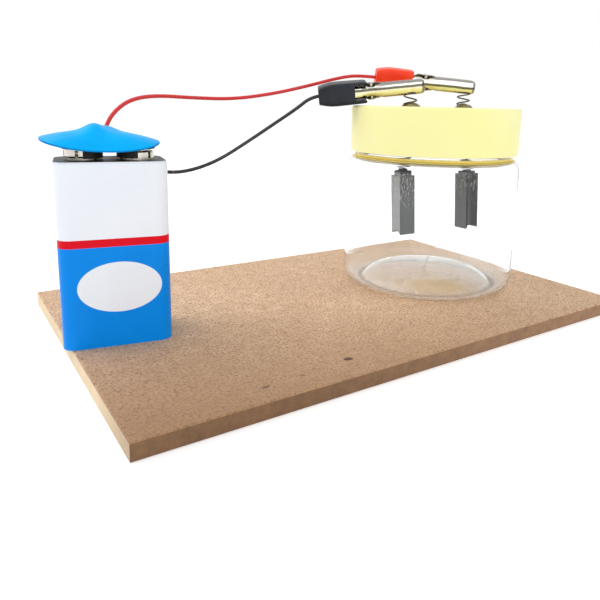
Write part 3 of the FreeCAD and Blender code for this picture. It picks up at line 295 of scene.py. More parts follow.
def tube(name, path, radius, sides=12):
    """A round tube along a path, without twist."""
    along = [(path[min(i + 1, len(path) - 1)] - path[max(i - 1, 0)]).normalized() for i in range(len(path))]
    side = along[0].orthogonal().normalized()
    points = []
    for place, direction in zip(path, along):
        side = (side - direction * side.dot(direction)).normalized()
        other = direction.cross(side)
        for k in range(sides):
            angle = 2 * math.pi * k / sides
            points.append(place + (side * math.cos(angle) + other * math.sin(angle)) * radius)
    faces = []
    for i in range(len(path) - 1):
        for k in range(sides):
            after = (k + 1) % sides
            faces.append((i * sides + k, i * sides + after, (i + 1) * sides + after, (i + 1) * sides + k))
    faces.append(tuple(reversed(range(sides))))
    faces.append(tuple(range((len(path) - 1) * sides, len(path) * sides)))
    return new_mesh(name, points, faces)


def line_length(path):
    """The length of a line through points."""
    return sum((after - before).length for before, after in zip(path, path[1:]))


# %% Two leads, each in two halves
def lead(name, route, node):
    """Two tubes, cut in the middle of the lead's line."""
    path = smooth_line(name, route)
    middle = len(path) // 2
    hold = len(path) // 8
    halves = []
    for part, points, near, far, start, end in (
            ("connector_half", path[:middle + 1], "connector", "base", path[hold], path[middle]),
            ("clip_half", path[middle:], "base", "lid", path[middle], path[-hold])):
        piece = tube("%s_%s" % (name, part), points, lead_wide / 2)
        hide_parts(node)
        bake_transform(piece)
        line_length(points)
        halves.append(piece)
        print(piece.name, "length", round(line_length(points), 4))
    return halves


red_lead = lead("red_lead", red_route, "red_wire")
black_lead = lead("black_lead", black_route, "black_wire")

# %% [markdown]
# ## Vinyl insulation
# Lead insulation is soft vinyl drawn over the strands: one even colour, semi-gloss, with a faint
# unevenness along its length where it was drawn.

# %% Lead finish
def insulation(name, colour, dark):
    """Drawn vinyl in one colour, a little darker where it is thin."""
    finish = Finish(name, Coat_Weight=0.15, Specular_IOR_Level=0.5)
    uneven = finish.noise(900.0, 3.0)
    finish.wear(Base_Color=finish.colour(uneven, dark, colour), Roughness=uneven * 0.12 + 0.32,
                Normal=finish.bump(uneven, 0.00003))
    return finish.material


red_vinyl = insulation("red_insulation", rgb(226, 30, 36), rgb(196, 16, 26))
black_vinyl = insulation("black_insulation", rgb(28, 29, 33), rgb(14, 14, 17))
for pieces, material in ((red_lead, red_vinyl), (black_lead, black_vinyl)):
    for piece in pieces:
        piece.data.materials.append(material)
print("leads painted")

# %% [markdown]
# ## The springs
# A drawn steel wire coils up through each hole in the lid. Above the lid it stands straight; below, the
# carbon block pulls it out of line. The coil is one helix whose axis bends at the lid, and the hanging part
# is a blend between the lid and the block. Its upper end is gripped by a clip,
# so the two clips' own axes are set up first.

# %% Clip frames
clips_heading = -34.2
clips_lean = 10.0
pivot_at = 17.5


def clip_frame(place, slope):
    """A clip's own axes: X runs to the tip, Y across the jaws; the origin is the rear of its boot."""
    turn = (Matrix.Rotation(math.radians(clips_heading), 4, "Z") @ Matrix.Rotation(math.radians(-slope), 4, "Y")
            @ Matrix.Rotation(math.radians(clips_lean), 4, "X"))
    return Matrix.Translation(Vector(place) * mm) @ turn


black_clip = clip_frame((3.9, 16.5, 67.8), 6.5)
red_clip = clip_frame((27.3, 16.1, 74.7), -4.6)
print("clips at", black_clip.translation[:], red_clip.translation[:])

# %% Coils
coil_radius = 2.075 * mm
coil_wire = 0.52 * mm
coil_pitch = 1.95 * mm
coil_rise = 6.4 * mm
coil_end_heading = math.radians(-24.2)
lid_wall = 1.4 * mm
lid_under = lid_high[2] - lid_wall
steps = 28
full_turn = 2 * math.pi


def coil_path(hole, block_top, clip):
    """Centre line of a spring from its end in the clip down to the carbon block."""
    pivot = Vector((hole[0], hole[1], lid_under))
    lean = Vector((block_top[0] - hole[0], block_top[1] - hole[1], block_top[2] + 1.9 * coil_wire - lid_under))
    start = math.atan2(lean.y, lean.x) + math.pi / 2
    last_turn = ((coil_end_heading - start) / full_turn) % 1.0
    turns_up = 2 + last_turn
    count = round(turns_up * steps)
    upper = []
    for i in range(count + 1):
        angle = start + turns_up * full_turn * i / count
        upper.append(pivot + Vector((math.cos(angle) * coil_radius, math.sin(angle) * coil_radius,
                                     coil_rise * i / count)))
    tilt = Vector((0, 0, -1)).rotation_difference(lean.normalized())
    turns_down = lean.length / coil_pitch
    count = round(turns_down * steps)
    lower = []
    for i in range(1, count + 1):
        angle = start - turns_down * full_turn * i / count
        round_axis = Vector((math.cos(angle) * coil_radius, math.sin(angle) * coil_radius, 0))
        lower.append(pivot + tilt @ round_axis + lean * (i / count))
    ahead_of_boot = math.hypot(hole[0] - clip.translation.x, hole[1] - clip.translation.y)
    stub = clip @ Vector((ahead_of_boot + coil_radius, 0, 1.2 * mm))
    return [stub] + list(reversed(upper)) + lower


def spring(name, node, hole, block_top, clip):
    """A round-wire coil that hangs between the lid and a carbon block."""
    path = coil_path(hole, block_top, clip)
    piece = tube(name, path, coil_wire / 2, sides=8)
    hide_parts(node)
    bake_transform(piece)
    print(name, "wire length", round(line_length(path), 4))
    return piece


blocks_top = 43.9 * mm
left_coil = spring("left_coil", "left_spring", (29.0 * mm, -0.6 * mm), (28.1 * mm, 0.0, blocks_top), black_clip)
right_coil = spring("right_coil", "right_spring", (53.2 * mm, -1.5 * mm), (56.0 * mm, -3.0 * mm, blocks_top),
                    red_clip)

# %% [markdown]
# ## The clips' own springs
# Inside each boot a small torsion spring sits on the pivot pin and its arms press the handles apart. One arm
# lies along the fixed jaw and the other along the moving one, with the coil between them.

# %% Torsion springs
def torsion_spring(name, node, clip):
    """Coil on the pin with an arm to each handle."""
    pivot = pivot_at * mm
    arm_end = 9.5 * mm
    arm_out = 2.4 * mm
    radius = 0.95 * mm
    wire = 0.4 * mm
    rise = 1.06 * mm
    turns = 2.5
    count = round(turns * 20)
    points = [(arm_end, arm_out, -rise / 2)]
    for i in range(count + 1):
        angle = math.pi / 2 - turns * 2 * math.pi * i / count
        points.append((pivot + radius * math.cos(angle), radius * math.sin(angle), rise * (i / count - 0.5)))
    points.append((arm_end, -arm_out, rise / 2))
    piece = tube(name, [clip @ Vector(point) for point in points], wire / 2, sides=8)
    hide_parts(node)
    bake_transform(piece)
    print(name, "turns", turns)
    return piece


black_torsion = torsion_spring("black_torsion_spring", "black_clip_spring", black_clip)
red_torsion = torsion_spring("red_torsion_spring", "red_clip_spring", red_clip)

# %% [markdown]
# ## Thin sheets
# The snap cover and the clips' boots are soft mouldings, and the jaws are pressed steel: thin walls, round
# edges and nothing quite straight. Each starts as one open sheet of quads. Solidify gives it a wall, and a
# subdivision surface rounds the rim.

# %% A moulded sheet
def moulded(name, rows, wall, closed=False, capped=False):
    """A sheet through rows of points, thickened inward and rounded."""
    wide = len(rows[0])
    points = [point for row in rows for point in row]
    faces = []
    for i in range(len(rows) - 1):
        for j in range(wide if closed else wide - 1):
            after = (j + 1) % wide
            faces.append((i * wide + j, i * wide + after, (i + 1) * wide + after, (i + 1) * wide + j))
    if capped:
        faces.append(tuple(reversed(range(wide))))
    piece = new_mesh(name, points, faces)
    skin = piece.modifiers.new("wall", "SOLIDIFY")
    skin.thickness = wall
    skin.offset = -1.0
    skin.use_even_offset = True
    piece.modifiers.new("round", "SUBSURF").levels = 1
    piece.modifiers["round"].render_levels = 1
    return piece


def settled(piece):
    """Applies a piece's modifiers."""
    graph = bpy.context.evaluated_depsgraph_get()
    mesh = bpy.data.meshes.new_from_object(piece.evaluated_get(graph))
    piece.modifiers.clear()
    piece.data = mesh
    mesh.shade_smooth()
    return piece


# %% [markdown]
# ## The snap cover
# The cover is a lens of blue vinyl. Its outline is a full oval, it leans forward a little, a knob hides the
# red wire's joint, and at the rear it lifts over the leads. Rings of points from the middle to the rim give
# a rim that runs evenly, which a square grid wouldn't. Under it a low oblong wall stands on the strip.

# %% Cover
strip_over_board = 49.95 * mm
strip_top = board_top + strip_over_board
cover_middle = -1.87
cover_half_long = 14.22
cover_half_wide = 7.5
cover_fullness = 2.5


def on_battery(across, deep, high):
    """A point in the battery's own frame, in millimetres from its middle and from the strip's top."""
    turned = Vector((across, deep, 0)) * mm
    turned.rotate(Matrix.Rotation(battery_turn, 3, "Z"))
    return (battery_middle.x + turned.x, battery_middle.y + turned.y, strip_top + high * mm)


def cover_high(across, deep):
    """Height of the cover's skin over the strip's top."""
    along = (across - cover_middle) / cover_half_long
    aside = deep / cover_half_wide
    ring = (abs(along) ** cover_fullness + abs(aside) ** cover_fullness) ** (2 / cover_fullness)
    lens = 3.68 * (1 - ring) - 0.26 - 0.49 * along + 0.98 * aside + 1.51 * along ** 2
    knob = 1.67 * math.exp(-((across + 3.46) / 2.79) ** 2 - ((deep - 0.6) / 4.0) ** 2)
    back = max(aside, 0.0)
    lift = 2.56 * math.exp(-(across / 3.4) ** 2) * back * back * (3 - 2 * back)
    return lens + knob + lift


def cover_rings(rings=22, around=96):
    """Rings of the oval, from a small one in the middle to the rim."""
    rows = []
    for i in range(rings + 1):
        share = 0.03 + 0.97 * (i / rings) ** 0.8
        row = []
        for k in range(around):
            c, s = math.cos(2 * math.pi * k / around), -math.sin(2 * math.pi * k / around)
            full = share * (abs(c) ** cover_fullness + abs(s) ** cover_fullness) ** (-1 / cover_fullness)
            across = cover_middle + cover_half_long * c * full
            deep = cover_half_wide * s * full
            row.append(on_battery(across, deep, cover_high(across, deep)))
        rows.append(row)
    return rows


cover = settled(moulded("snap_cover", cover_rings(), 0.55 * mm, closed=True, capped=True))
print("cover points", len(cover.data.vertices))

# %% Wall inside the cover
def cover_wall(count=72):
    """An oblong wall between the strip and the skin, open at the rear for the leads."""
    opens_at, closes_at = 112, 428
    end_middle = 6.4
    end_radius = 4.6
    rows = []
    for share in (0.0, 0.5, 1.0):
        row = []
        for i in range(count + 1):
            angle = math.radians(opens_at + (closes_at - opens_at) * i / count)
            corner = end_middle if math.cos(angle) > 0 else -end_middle
            across = corner + end_radius * math.cos(angle)
            deep = end_radius * math.sin(angle)
            row.append(on_battery(across, deep, share * max(cover_high(across, deep) - 0.4, 0.1)))
        rows.append(row)
    return settled(moulded("snap_cover_wall", rows, 0.8 * mm))


wall = cover_wall()
for piece in (cover, wall):
    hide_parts("connector_cover")
    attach(piece, "connector")

# %% [markdown]
# ## The clips' boots
# A boot is a short vinyl sleeve pulled over the clip's handles. It is pinched at the lead's end, and its
# mouth is cut back at both sides, which leaves a tongue above and one below. The red boot is pulled back
# further, so its mouth slopes and its tongues are short.

# %% Boots
boot_long = 12.0
boot_straight = 11.4
boot_deep = 4.38
boot_high = 3.6


def boot_ring(angle, half_deep, half_high, corner=5.0):
    """A point on a box-like oval."""
    c, s = math.cos(angle), math.sin(angle)
    scale = (abs(c) ** corner + abs(s) ** corner) ** (-1 / corner)
    return half_deep * c * scale, half_high * s * scale


def boot_mouth(angle, upper, lower):
    """How far the boot reaches at this angle: cut back at the sides, tongues above and below."""
    up = math.sin(angle)
    if upper < 2 and up > -0.6:
        return boot_long + upper * (up + 0.6) / 1.6
    tongue = upper if up > 0 else lower
    edge = min(max((abs(up) - 0.60) / 0.12, 0.0), 1.0)
    return boot_long + tongue * edge * edge * (3 - 2 * edge)


def boot(name, node, clip, upper, lower=4.0, around=72):
    """A sleeve through box-like rings; upper and lower are the lengths of its tongues."""
    stations = ((0.0, 0.95, 0.9), (0.0, 2.6, 1.9), (0.0, 3.75, 2.6), (0.12, 3.98, 2.84), (1.2, 4.1, 3.05),
                (4.0, 4.25, 3.72), (7.6, 4.32, 3.66), (boot_straight, boot_deep, boot_high))
    angles = [2 * math.pi * k / around for k in range(around)]
    rows = []
    for along, half_deep, half_high in stations:
        swell = 1 + 0.012 * math.sin(along * 1.9)
        row = []
        for angle in angles:
            deep, high = boot_ring(angle, half_deep * swell, half_high * swell, 2.0 if half_deep < 1 else 6.0)
            row.append(clip @ Vector((along * mm, deep * mm, high * mm)))
        rows.append(row)
    for share in (0.5, 1.0):
        row = []
        for angle in angles:
            deep, high = boot_ring(angle, boot_deep - 0.12 * share, boot_high)
            along = boot_straight + (boot_mouth(angle, upper, lower) - boot_straight) * share
            row.append(clip @ Vector((along * mm, deep * mm, high * mm)))
        rows.append(row)
    piece = settled(moulded(name, rows, 0.8 * mm, closed=True))
    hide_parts(node)
    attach(piece, "lid")
    print(name, "points", len(piece.data.vertices))
    return piece


black_boot = boot("black_boot", "black_clip_boot", black_clip, 4.0)
red_boot = boot("red_boot", "red_clip_boot", red_clip, 1.1, lower=2.2)

# %% [markdown]
# ## The clips' jaws
# A jaw is one strip of sheet steel, pressed into a channel with a round back, closed at the tip and toothed
# along its open edges. Behind the pivot it narrows to a flat handle inside the boot. Each section is an open
# curve from one toothed edge round the back to the other. The near jaw's teeth stand half a pitch further on,
# and its ears are narrower, so that they fit between the far jaw's.

# %% Jaws
clip_gap = 0.275
ear_radius = 1.4
teeth_from, teeth_to = 22.0, 32.6
channel_from, channel_to = 13.2, 34.81
jaw_half_high = 2.0
jaw_roundness = 2.7
tip_from = 33.5
tip_long = 1.35


def eased(value, start, end):
    """0 before start, 1 after end, with a soft run between them."""
    share = min(max((value - start) / (end - start), 0.0), 1.0)
    return share * share * (3 - 2 * share)


def jaw_edge(along):
    """How far the open edge stands from the middle: teeth ahead of the pivot, round ears, then a sloped cut."""
    ahead = along - pivot_at
    if abs(ahead) < ear_radius:
        return -math.sqrt(ear_radius ** 2 - ahead ** 2)
    if ahead < 0:
        return clip_gap - 0.22 * ahead
    if teeth_from < along < teeth_to:
        return clip_gap + 0.25 - 0.25 * math.cos(2 * math.pi * (along - teeth_from))
    return clip_gap


def jaw(name, node, clip, side, ear_half, body, around=18):
    """Channel and handle of one jaw; side is 1 for the far jaw and -1 for the near one."""
    rows = []
    along = channel_from
    while along < channel_to:
        half = ear_half + (jaw_half_high - ear_half) * eased(along, 19.2, 21.5)
        half -= (ear_half - 1.5) * (1 - eased(along, channel_from, 15.2))
        deep = 2.5 - 0.45 * eased(along, 21.5, 33.6)
        closing = math.sqrt(max(1 - (max(along - tip_from, 0.0) / tip_long) ** 2, 0.0))
        half *= 0.45 + 0.55 * closing
        deep = clip_gap + (deep - clip_gap) * (0.12 + 0.88 * closing)
        edge = jaw_edge(along + (0.5 if side < 0 and along > 21 else 0.0))
        row = []
        for k in range(around + 1):
            angle = math.pi * (k / around - 0.5)
            back = abs(math.cos(angle)) ** (2 / jaw_roundness)
            high = math.copysign(abs(math.sin(angle)) ** (2 / jaw_roundness), angle)
            out = edge + (deep - edge) * back if edge < deep else deep
            row.append(clip @ Vector((along * mm, side * out * mm, half * high * mm)))
        rows.append(row if side < 0 else list(reversed(row)))
        along += 0.25
    channel = settled(moulded(name, rows, 0.35 * mm))
    spine = [(4.5, 3.1), (8.0, 3.1), (11.3, 3.1), (12.0, 2.95), (13.3, 2.62), (14.6, 2.45)]
    rows = []
    for along, out in spine:
        row = [clip @ Vector((along * mm, side * out * mm, high * mm)) for high in (-1.5, -0.5, 0.5, 1.5)]
        rows.append(row if side < 0 else list(reversed(row)))
    handle = settled(moulded(name + "_handle", rows, 0.35 * mm))
    for piece in (channel, handle):
        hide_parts(node)
        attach(piece, body)
    print(name, "points", len(channel.data.vertices))
    return [channel, handle]


black_jaws = (jaw("black_near_jaw", "black_clip_moving_jaw", black_clip, -1, 1.5, "black_jaw")
              + jaw("black_far_jaw", "black_clip_fixed_jaw", black_clip, 1, 2.35, "lid"))
red_jaws = (jaw("red_near_jaw", "red_clip_moving_jaw", red_clip, -1, 1.5, "red_jaw")
            + jaw("red_far_jaw", "red_clip_fixed_jaw", red_clip, 1, 2.35, "lid"))

# %% [markdown]
# ## Metals
# Spring wire is grey drawn steel. The snaps and the clips' pins are nickel plated: bright, slightly warm,
# with faint rolling marks and dull patches where fingers have been. Solder is greyer and brass yellower.

# %% Steel and nickel
def metal(name, bright, dull, rough, scale):
    """A bare metal with fine marks of the given scale and broad dull smears."""
    finish = Finish(name, Metallic=1.0)
    marks = finish.noise(scale, 5.0, 0.6)
    smear = finish.noise(scale / 12, 2.0)
    finish.wear(Base_Color=finish.colour(smear, dull, bright), Roughness=marks * 0.18 + rough,
                Normal=finish.bump(marks, 0.00002))
    return finish.material


spring_steel = metal("spring_steel", rgb(124, 119, 108), rgb(62, 58, 50), 0.24, 1500.0)
nickel = metal("nickel_plate", rgb(226, 222, 214), rgb(178, 172, 162), 0.14, 900.0)
solder = metal("solder", rgb(190, 190, 194), rgb(150, 150, 156), 0.3, 1200.0)
brass = metal("contact_brass", rgb(214, 186, 120), rgb(170, 140, 84), 0.25, 900.0)
for piece in (left_coil, right_coil, black_torsion, red_torsion):
    piece.data.materials.append(spring_steel)
dress(nickel, "black_clip_pin", "red_clip_pin", "battery_stud", "battery_socket", "connector_stud",
      "connector_socket")
dress(solder, "connector_solder_red", "connector_solder_black")
dress(brass, "cell_strap", "cell_contact")

# %% [markdown]
# ## Painted reflections on the jaws
# The jaws are nickel, and their colour carries painted light: a painted highlight along the upper edge, a
# painted dark reflection band under it, a painted yellow reflection of the lid below, and painted shade at
# the top and bottom edges and at the tip. The bands run along the clip, so their masks are made from the
# clip's own height.

# %% Jaw painted reflections
def clip_along(finish, clip, axis=(1, 0, 0)):
    """How far a point is along one of the clip's own axes, from the rear of its boot."""
    x, y, z = finish.axes()
    way = clip.to_3x3() @ Vector(axis)
    return x * way.x + y * way.y + z * way.z - clip.translation.dot(way)


def jaw_painted_reflections(name, clip, dark_band_at):
    """Nickel with painted reflections: a painted highlight, a painted dark band, a painted yellow reflection of the lid
    and painted shade at the edges and tip; the last argument is the dark band's height as a share of the jaw's half
    height.
    """
    finish = Finish(name, Metallic=1.0)
    marks = finish.noise(900.0, 4.0, 0.6)
    drawn = finish.noise(160.0, 3.0)
    high = clip_along(finish, clip, (0, 0, 1)) / (jaw_half_high * mm) + (drawn - 0.5) * 0.25
    # Masks for the painted bands: above and below the painted dark reflection band, and painted shade at the bottom and
    # top edges.
    over = high.step(dark_band_at + 0.2, 0.16)
    under = 1 - high.step(dark_band_at - 0.22, 0.16)
    edge = 1 - high.step(-0.82, 0.2)
    top_edge_shade = high.step(0.86, 0.12)
    # A painted highlight, a painted yellow reflection of the lid and a painted dark reflection band.
    bright = finish.colour(marks, rgb(236, 234, 226), rgb(255, 253, 246))
    painted_lid_reflection = finish.colour(marks, rgb(220, 210, 172), rgb(248, 242, 214))
    painted_dark_band = finish.colour(marks, rgb(74, 72, 62), rgb(116, 112, 98))
    lower = finish.colour(under, painted_dark_band, painted_lid_reflection)
    plate = finish.colour(over, lower, bright)
    # Painted shade along the lower edge.
    brown = finish.colour(edge * 0.7, plate, rgb(150, 128, 76))
    # Painted shade at the tip and along the top edge.
    tip = clip_along(finish, clip).step(33.9 * mm, 0.5 * mm)
    dark_ends_shade = (top_edge_shade * 0.7).higher(tip * 0.8)
    finish.wear(Base_Color=finish.colour(dark_ends_shade, brown, rgb(76, 72, 64)), Roughness=marks * 0.12 + 0.14,
                Normal=finish.bump(marks, 0.00002))
    return finish.material


# Each clip's jaws get their painted reflections; the number is the height of the painted dark band.
for pieces, name, clip, dark_band_at in ((black_jaws, "black_jaw_painted_reflections", black_clip, 0.38),
                                      (red_jaws, "red_jaw_painted_reflections", red_clip, -0.05)):
    jaw_reflection_paint = jaw_painted_reflections(name, clip, dark_band_at)
    for piece in pieces:
        piece.data.materials.append(jaw_reflection_paint)
print("jaws plated")

# %% [markdown]
# ## Vinyl skins
# Dipped vinyl has a smooth skin with a slight orange peel and a soft sheen. Cloudy light and dark patches
# come from handling, and the surface mirrors little, which keeps its colour strong.

# %% Vinyl
def battery_axes(finish):
    """Across, depth and height of a point, in the battery's own frame."""
    x, y, z = finish.axes()
    dx = x - battery_middle.x
    dy = y - battery_middle.y
    across = dx * math.cos(battery_turn) + dy * math.sin(battery_turn)
    deep = dy * math.cos(battery_turn) - dx * math.sin(battery_turn)
    return across, deep, z - battery_middle.z


def dipped_vinyl(name, colour, deep, rough, coat):
    """Soft vinyl that clouds from one colour to a deeper one."""
    finish = Finish(name, Specular_IOR_Level=0.22, Coat_Weight=coat, Coat_Roughness=0.22)
    peel = finish.noise(1100.0, 2.0)
    cloud = finish.noise(150.0, 4.0)
    finish.wear(Base_Color=finish.colour(cloud.step(0.5, 0.5), deep, colour), Roughness=cloud * 0.15 + rough,
                Normal=finish.bump(peel * 0.6 + cloud * 0.4, 0.00012))
    return finish.material


def cover_vinyl():
    """The cover's vinyl: glossier, with painted shade in a deeper blue along its rim."""
    finish = Finish("cover_vinyl", Specular_IOR_Level=0.05, Coat_Weight=0.04, Coat_Roughness=0.08)
    peel = finish.noise(700.0, 2.0)
    cloud = finish.noise(110.0, 3.0)
    across, deep, _ = battery_axes(finish)
    along = ((across - cover_middle * mm) / (cover_half_long * mm)).size()
    aside = (deep / (cover_half_wide * mm)).size()
    # Painted shade: towards the rim the blue is mixed into a deeper blue.
    rim = (along ** cover_fullness + aside ** cover_fullness).step(0.95, 0.05)
    face = finish.colour(cloud.step(0.5, 0.5), rgb(0, 168, 244), rgb(0, 182, 252))
    finish.wear(Base_Color=finish.colour(rim * 0.75, face, rgb(0, 96, 186)), Roughness=cloud * 0.12 + 0.22,
                Normal=finish.bump(peel * 0.5 + cloud * 0.5, 0.00016))
    return finish.material


cover_blue = cover_vinyl()
boot_orange = dipped_vinyl("boot_red", rgb(255, 80, 36), rgb(252, 54, 24), 0.34, 0.03)
boot_grey = dipped_vinyl("boot_black", rgb(44, 48, 57), rgb(27, 30, 38), 0.34, 0.06)
for piece, material in ((cover, cover_blue), (wall, cover_blue), (red_boot, boot_orange), (black_boot, boot_grey)):
    piece.data.materials.append(material)
print("vinyl on cover and boots")

# %% [markdown]
# ## The battery's print
# The steel jacket is printed in one pass: white above, a thin red band and blue below, with a bare white
# oval on each wide face. The fields are masks made from the height and from the place across the battery.

# %% Jacket
def printed_jacket():
    """White, red and blue fields with a bare white oval."""
    finish = Finish("jacket_print", Specular_IOR_Level=0.1, Coat_Weight=0.03, Coat_Roughness=0.12)
    across, deep, high = battery_axes(finish)
    edge = 0.12 * mm
    blue_to, red_to = 25.7 * mm, 27.7 * mm
    oval_across, oval_high = 0.7 * mm, 15.4 * mm
    oval_half_wide, oval_half_high = 10.0 * mm, 6.4 * mm
    above_blue = high.step(blue_to, edge)
    above_red = high.step(red_to, edge)
    oval = ((across - oval_across) / oval_half_wide) ** 2 + ((high - oval_high) / oval_half_high) ** 2
    in_oval = 1 - oval.step(1.0, 0.03)
    cloud = finish.noise(60.0, 3.0)
    blue = finish.colour(cloud, rgb(0, 130, 228), rgb(0, 150, 250))
    red = finish.colour(cloud, rgb(214, 6, 30), rgb(236, 10, 36))
    white = finish.colour(cloud, rgb(234, 240, 250), rgb(246, 250, 255))
    low = finish.colour(above_blue, blue, red)
    body = finish.colour(above_red, low, white)
    fine = finish.noise(1800.0, 3.0)
    finish.wear(Base_Color=finish.colour(in_oval, body, white), Roughness=cloud * 0.14 + 0.22,
                Normal=finish.bump(fine, 0.00001))
    return finish.material


dress(printed_jacket(), "battery_jacket")

# %% [markdown]
# ## Moulded black, cell wrap and fibre strip
# The end plates are black moulded plastic, and the snap connector's strip is black fibre with a cloth-like
# surface. The cells inside are wrapped in dull film.

# %% Dark plastics
def matt(name, light, dark, rough, scale, depth):
    """A dull material with grain of the given scale and depth."""
    finish = Finish(name, Specular_IOR_Level=0.4)
    grain = finish.noise(scale, 4.0)
    finish.wear(Base_Color=finish.colour(grain, dark, light), Roughness=grain * 0.2 + rough,
                Normal=finish.bump(grain, depth))
    return finish.material


def rimmed_plate():
    """The top plate, with the jacket's white edge folded over its side."""
    finish = Finish("black_plate", Specular_IOR_Level=0.35)
    grain = finish.noise(900.0, 4.0)
    nz = finish.facing()[2]
    side = 1 - nz.size().step(0.55, 0.3)
    black = finish.colour(grain, rgb(18, 18, 21), rgb(36, 36, 40))
    finish.wear(Base_Color=finish.colour(side, black, rgb(226, 230, 240)), Roughness=grain * 0.2 + 0.35,
                Normal=finish.bump(grain, 0.00003))
    return finish.material


dress(rimmed_plate(), "battery_top_plate")
dress(matt("bottom_plate", rgb(34, 34, 38), rgb(18, 18, 21), 0.38, 900.0, 0.00003), "battery_bottom_plate")
dress(matt("fibre_strip", rgb(40, 38, 38), rgb(20, 19, 20), 0.55, 1600.0, 0.00005), "connector_strip")
dress(matt("cell_wrap", rgb(120, 120, 126), rgb(90, 90, 96), 0.45, 400.0, 0.00003),
      *["flat_cell_%d" % number for number in range(1, 7)])

# %% [markdown]
# ## The lid
# The lid is thin cream-yellow plastic. Its side has the faint rings of the mould, and fine scuffs dull it
# where it has been turned on and off.

# %% Lid
def cream_plastic():
    """The lid's plastic, with flat rings round its side."""
    finish = Finish("lid_cream", Specular_IOR_Level=0.3, Coat_Weight=0.08)
    cloud = finish.noise(45.0, 3.0)
    fine = finish.noise(1200.0, 3.0)
    ring = finish.noise(1.0, 2.0, 0.5, finish.stretched((20.0, 20.0, 900.0)))
    finish.wear(Base_Color=finish.colour(cloud.step(0.5, 0.6), rgb(255, 250, 166), rgb(255, 255, 190)),
                Roughness=fine * 0.12 + 0.3, Normal=finish.bump(ring * 0.4 + fine * 0.3, 0.00004))
    return finish.material


dress(cream_plastic(), "jar_lid")

# %% [markdown]
# ## The clear jar
# A blown clear jar is smooth and glossy, slightly wavy, and two mould halves left a fine seam down its
# sides. Its wall is a solid with an inside and an outside, so a transmitting shader bends light as plastic
# does. Light on its way to the board isn't bent: it passes as through a window, or the jar would stand in
# its own dark shadow. A thin film lies over the plastic: dust and scuffs low down, a painted amber
# reflection of the lid on the bead under the lid, and a yellow-brown patch on the near side of the floor.

# %% Jar
def clear_plastic():
    """Glass-like plastic under a thin film; a shadow passes straight through."""
    finish = Finish("jar_clear", Transmission_Weight=1.0, IOR=1.33)
    x, y, z = finish.axes()
    wave = finish.noise(1.0, 2.0, 0.5, finish.stretched((60.0, 60.0, 25.0)))
    fine = finish.noise(700.0, 2.0)
    dx = x - jar_middle.x
    dy = y - jar_middle.y
    seam_turn = math.radians(42.0)
    off_seam = (dx * math.sin(seam_turn) - dy * math.cos(seam_turn)).size()
    seam = 1 - off_seam.step(0.25 * mm, 0.2 * mm)
    relief = finish.bump(seam, 0.0001, 0.6, under=finish.bump(wave, 0.0004, 0.5))
    # Painted reflection of the lid: the bead under the lid is tinted amber, in the plastic's colour and in its film.
    bead_from, bead_to, soft = lid_low[2] - 2.0 * mm, lid_low[2] - 0.85 * mm, 0.3 * mm
    lid_reflection_band = z.step(bead_from, soft) - z.step(bead_to, soft)
    finish.wear(Base_Color=finish.colour(lid_reflection_band, rgb(254, 255, 255), rgb(255, 234, 138)), Roughness=fine * 0.03 + 0.01,
                Normal=relief)
    haze_high = 13 * mm
    low = 1 - ((z - board_top) / haze_high).clamped()
    dust = finish.noise(420.0, 4.0, 0.65)
    floor_radius = 24 * mm
    far = ((dx * dx + dy * dy).root() / floor_radius).clamped()
    scuff = finish.noise(1.0, 3.0, 0.6, finish.stretched((260.0, 1100.0, 500.0)))
    marks = scuff.step(0.67, 0.02) * low * 0.5
    # A yellow-brown patch low on the floor's near side.
    patch_aside = dx * 0.82 - dy * 0.57 - 1.5 * mm
    patch_back = dx * 0.57 + dy * 0.82 + 18 * mm
    patch_reach = (patch_aside * patch_aside * 0.22 + patch_back * patch_back).root() + dust * 3 * mm
    floor_yellow_patch = (1 - patch_reach.step(6.5 * mm, 4 * mm)) * low
    haze = low * low * (dust * 0.3 + 0.04) * (far * 0.7 + 0.3)
    # The film: dust and scuffs, the yellow-brown patch, and the painted amber reflection of the lid on the bead.
    film = haze.higher(marks).higher(floor_yellow_patch * 0.5).higher(lid_reflection_band * 0.75)
    lid_tinted = finish.colour(lid_reflection_band, rgb(255, 255, 252), rgb(255, 232, 122))
    coat = finish.node("ShaderNodeBsdfPrincipled", {}, {
        "Base Color": finish.colour(floor_yellow_patch, lid_tinted, rgb(212, 172, 88)), "Roughness": 0.35, "Specular IOR Level": 0.3})
    skin = finish.node("ShaderNodeMixShader", {}, {0: film, 1: finish.shader.outputs[0], 2: coat.outputs[0]})
    path = finish.node("ShaderNodeLightPath")
    window = finish.node("ShaderNodeBsdfTransparent", {}, {"Color": (0.99, 0.99, 0.99, 1.0)})
    both = finish.node("ShaderNodeMixShader", {}, {0: path.outputs["Is Shadow Ray"],
                                                   1: skin.outputs[0], 2: window.outputs[0]})
    finish.tree.links.new(both.outputs[0], finish.tree.nodes["Material Output"].inputs["Surface"])
    return finish.material


dress(clear_plastic(), "jar_body")

# %% [markdown]
# ## Carbon and glue
# The electrodes are pressed carbon: dark, faintly sparkling, with rubbed corners, and their face pairs are
# painted lighter or darker as light and shade. The glue round the springs has cured to a dull khaki with a wet-looking
# skin.

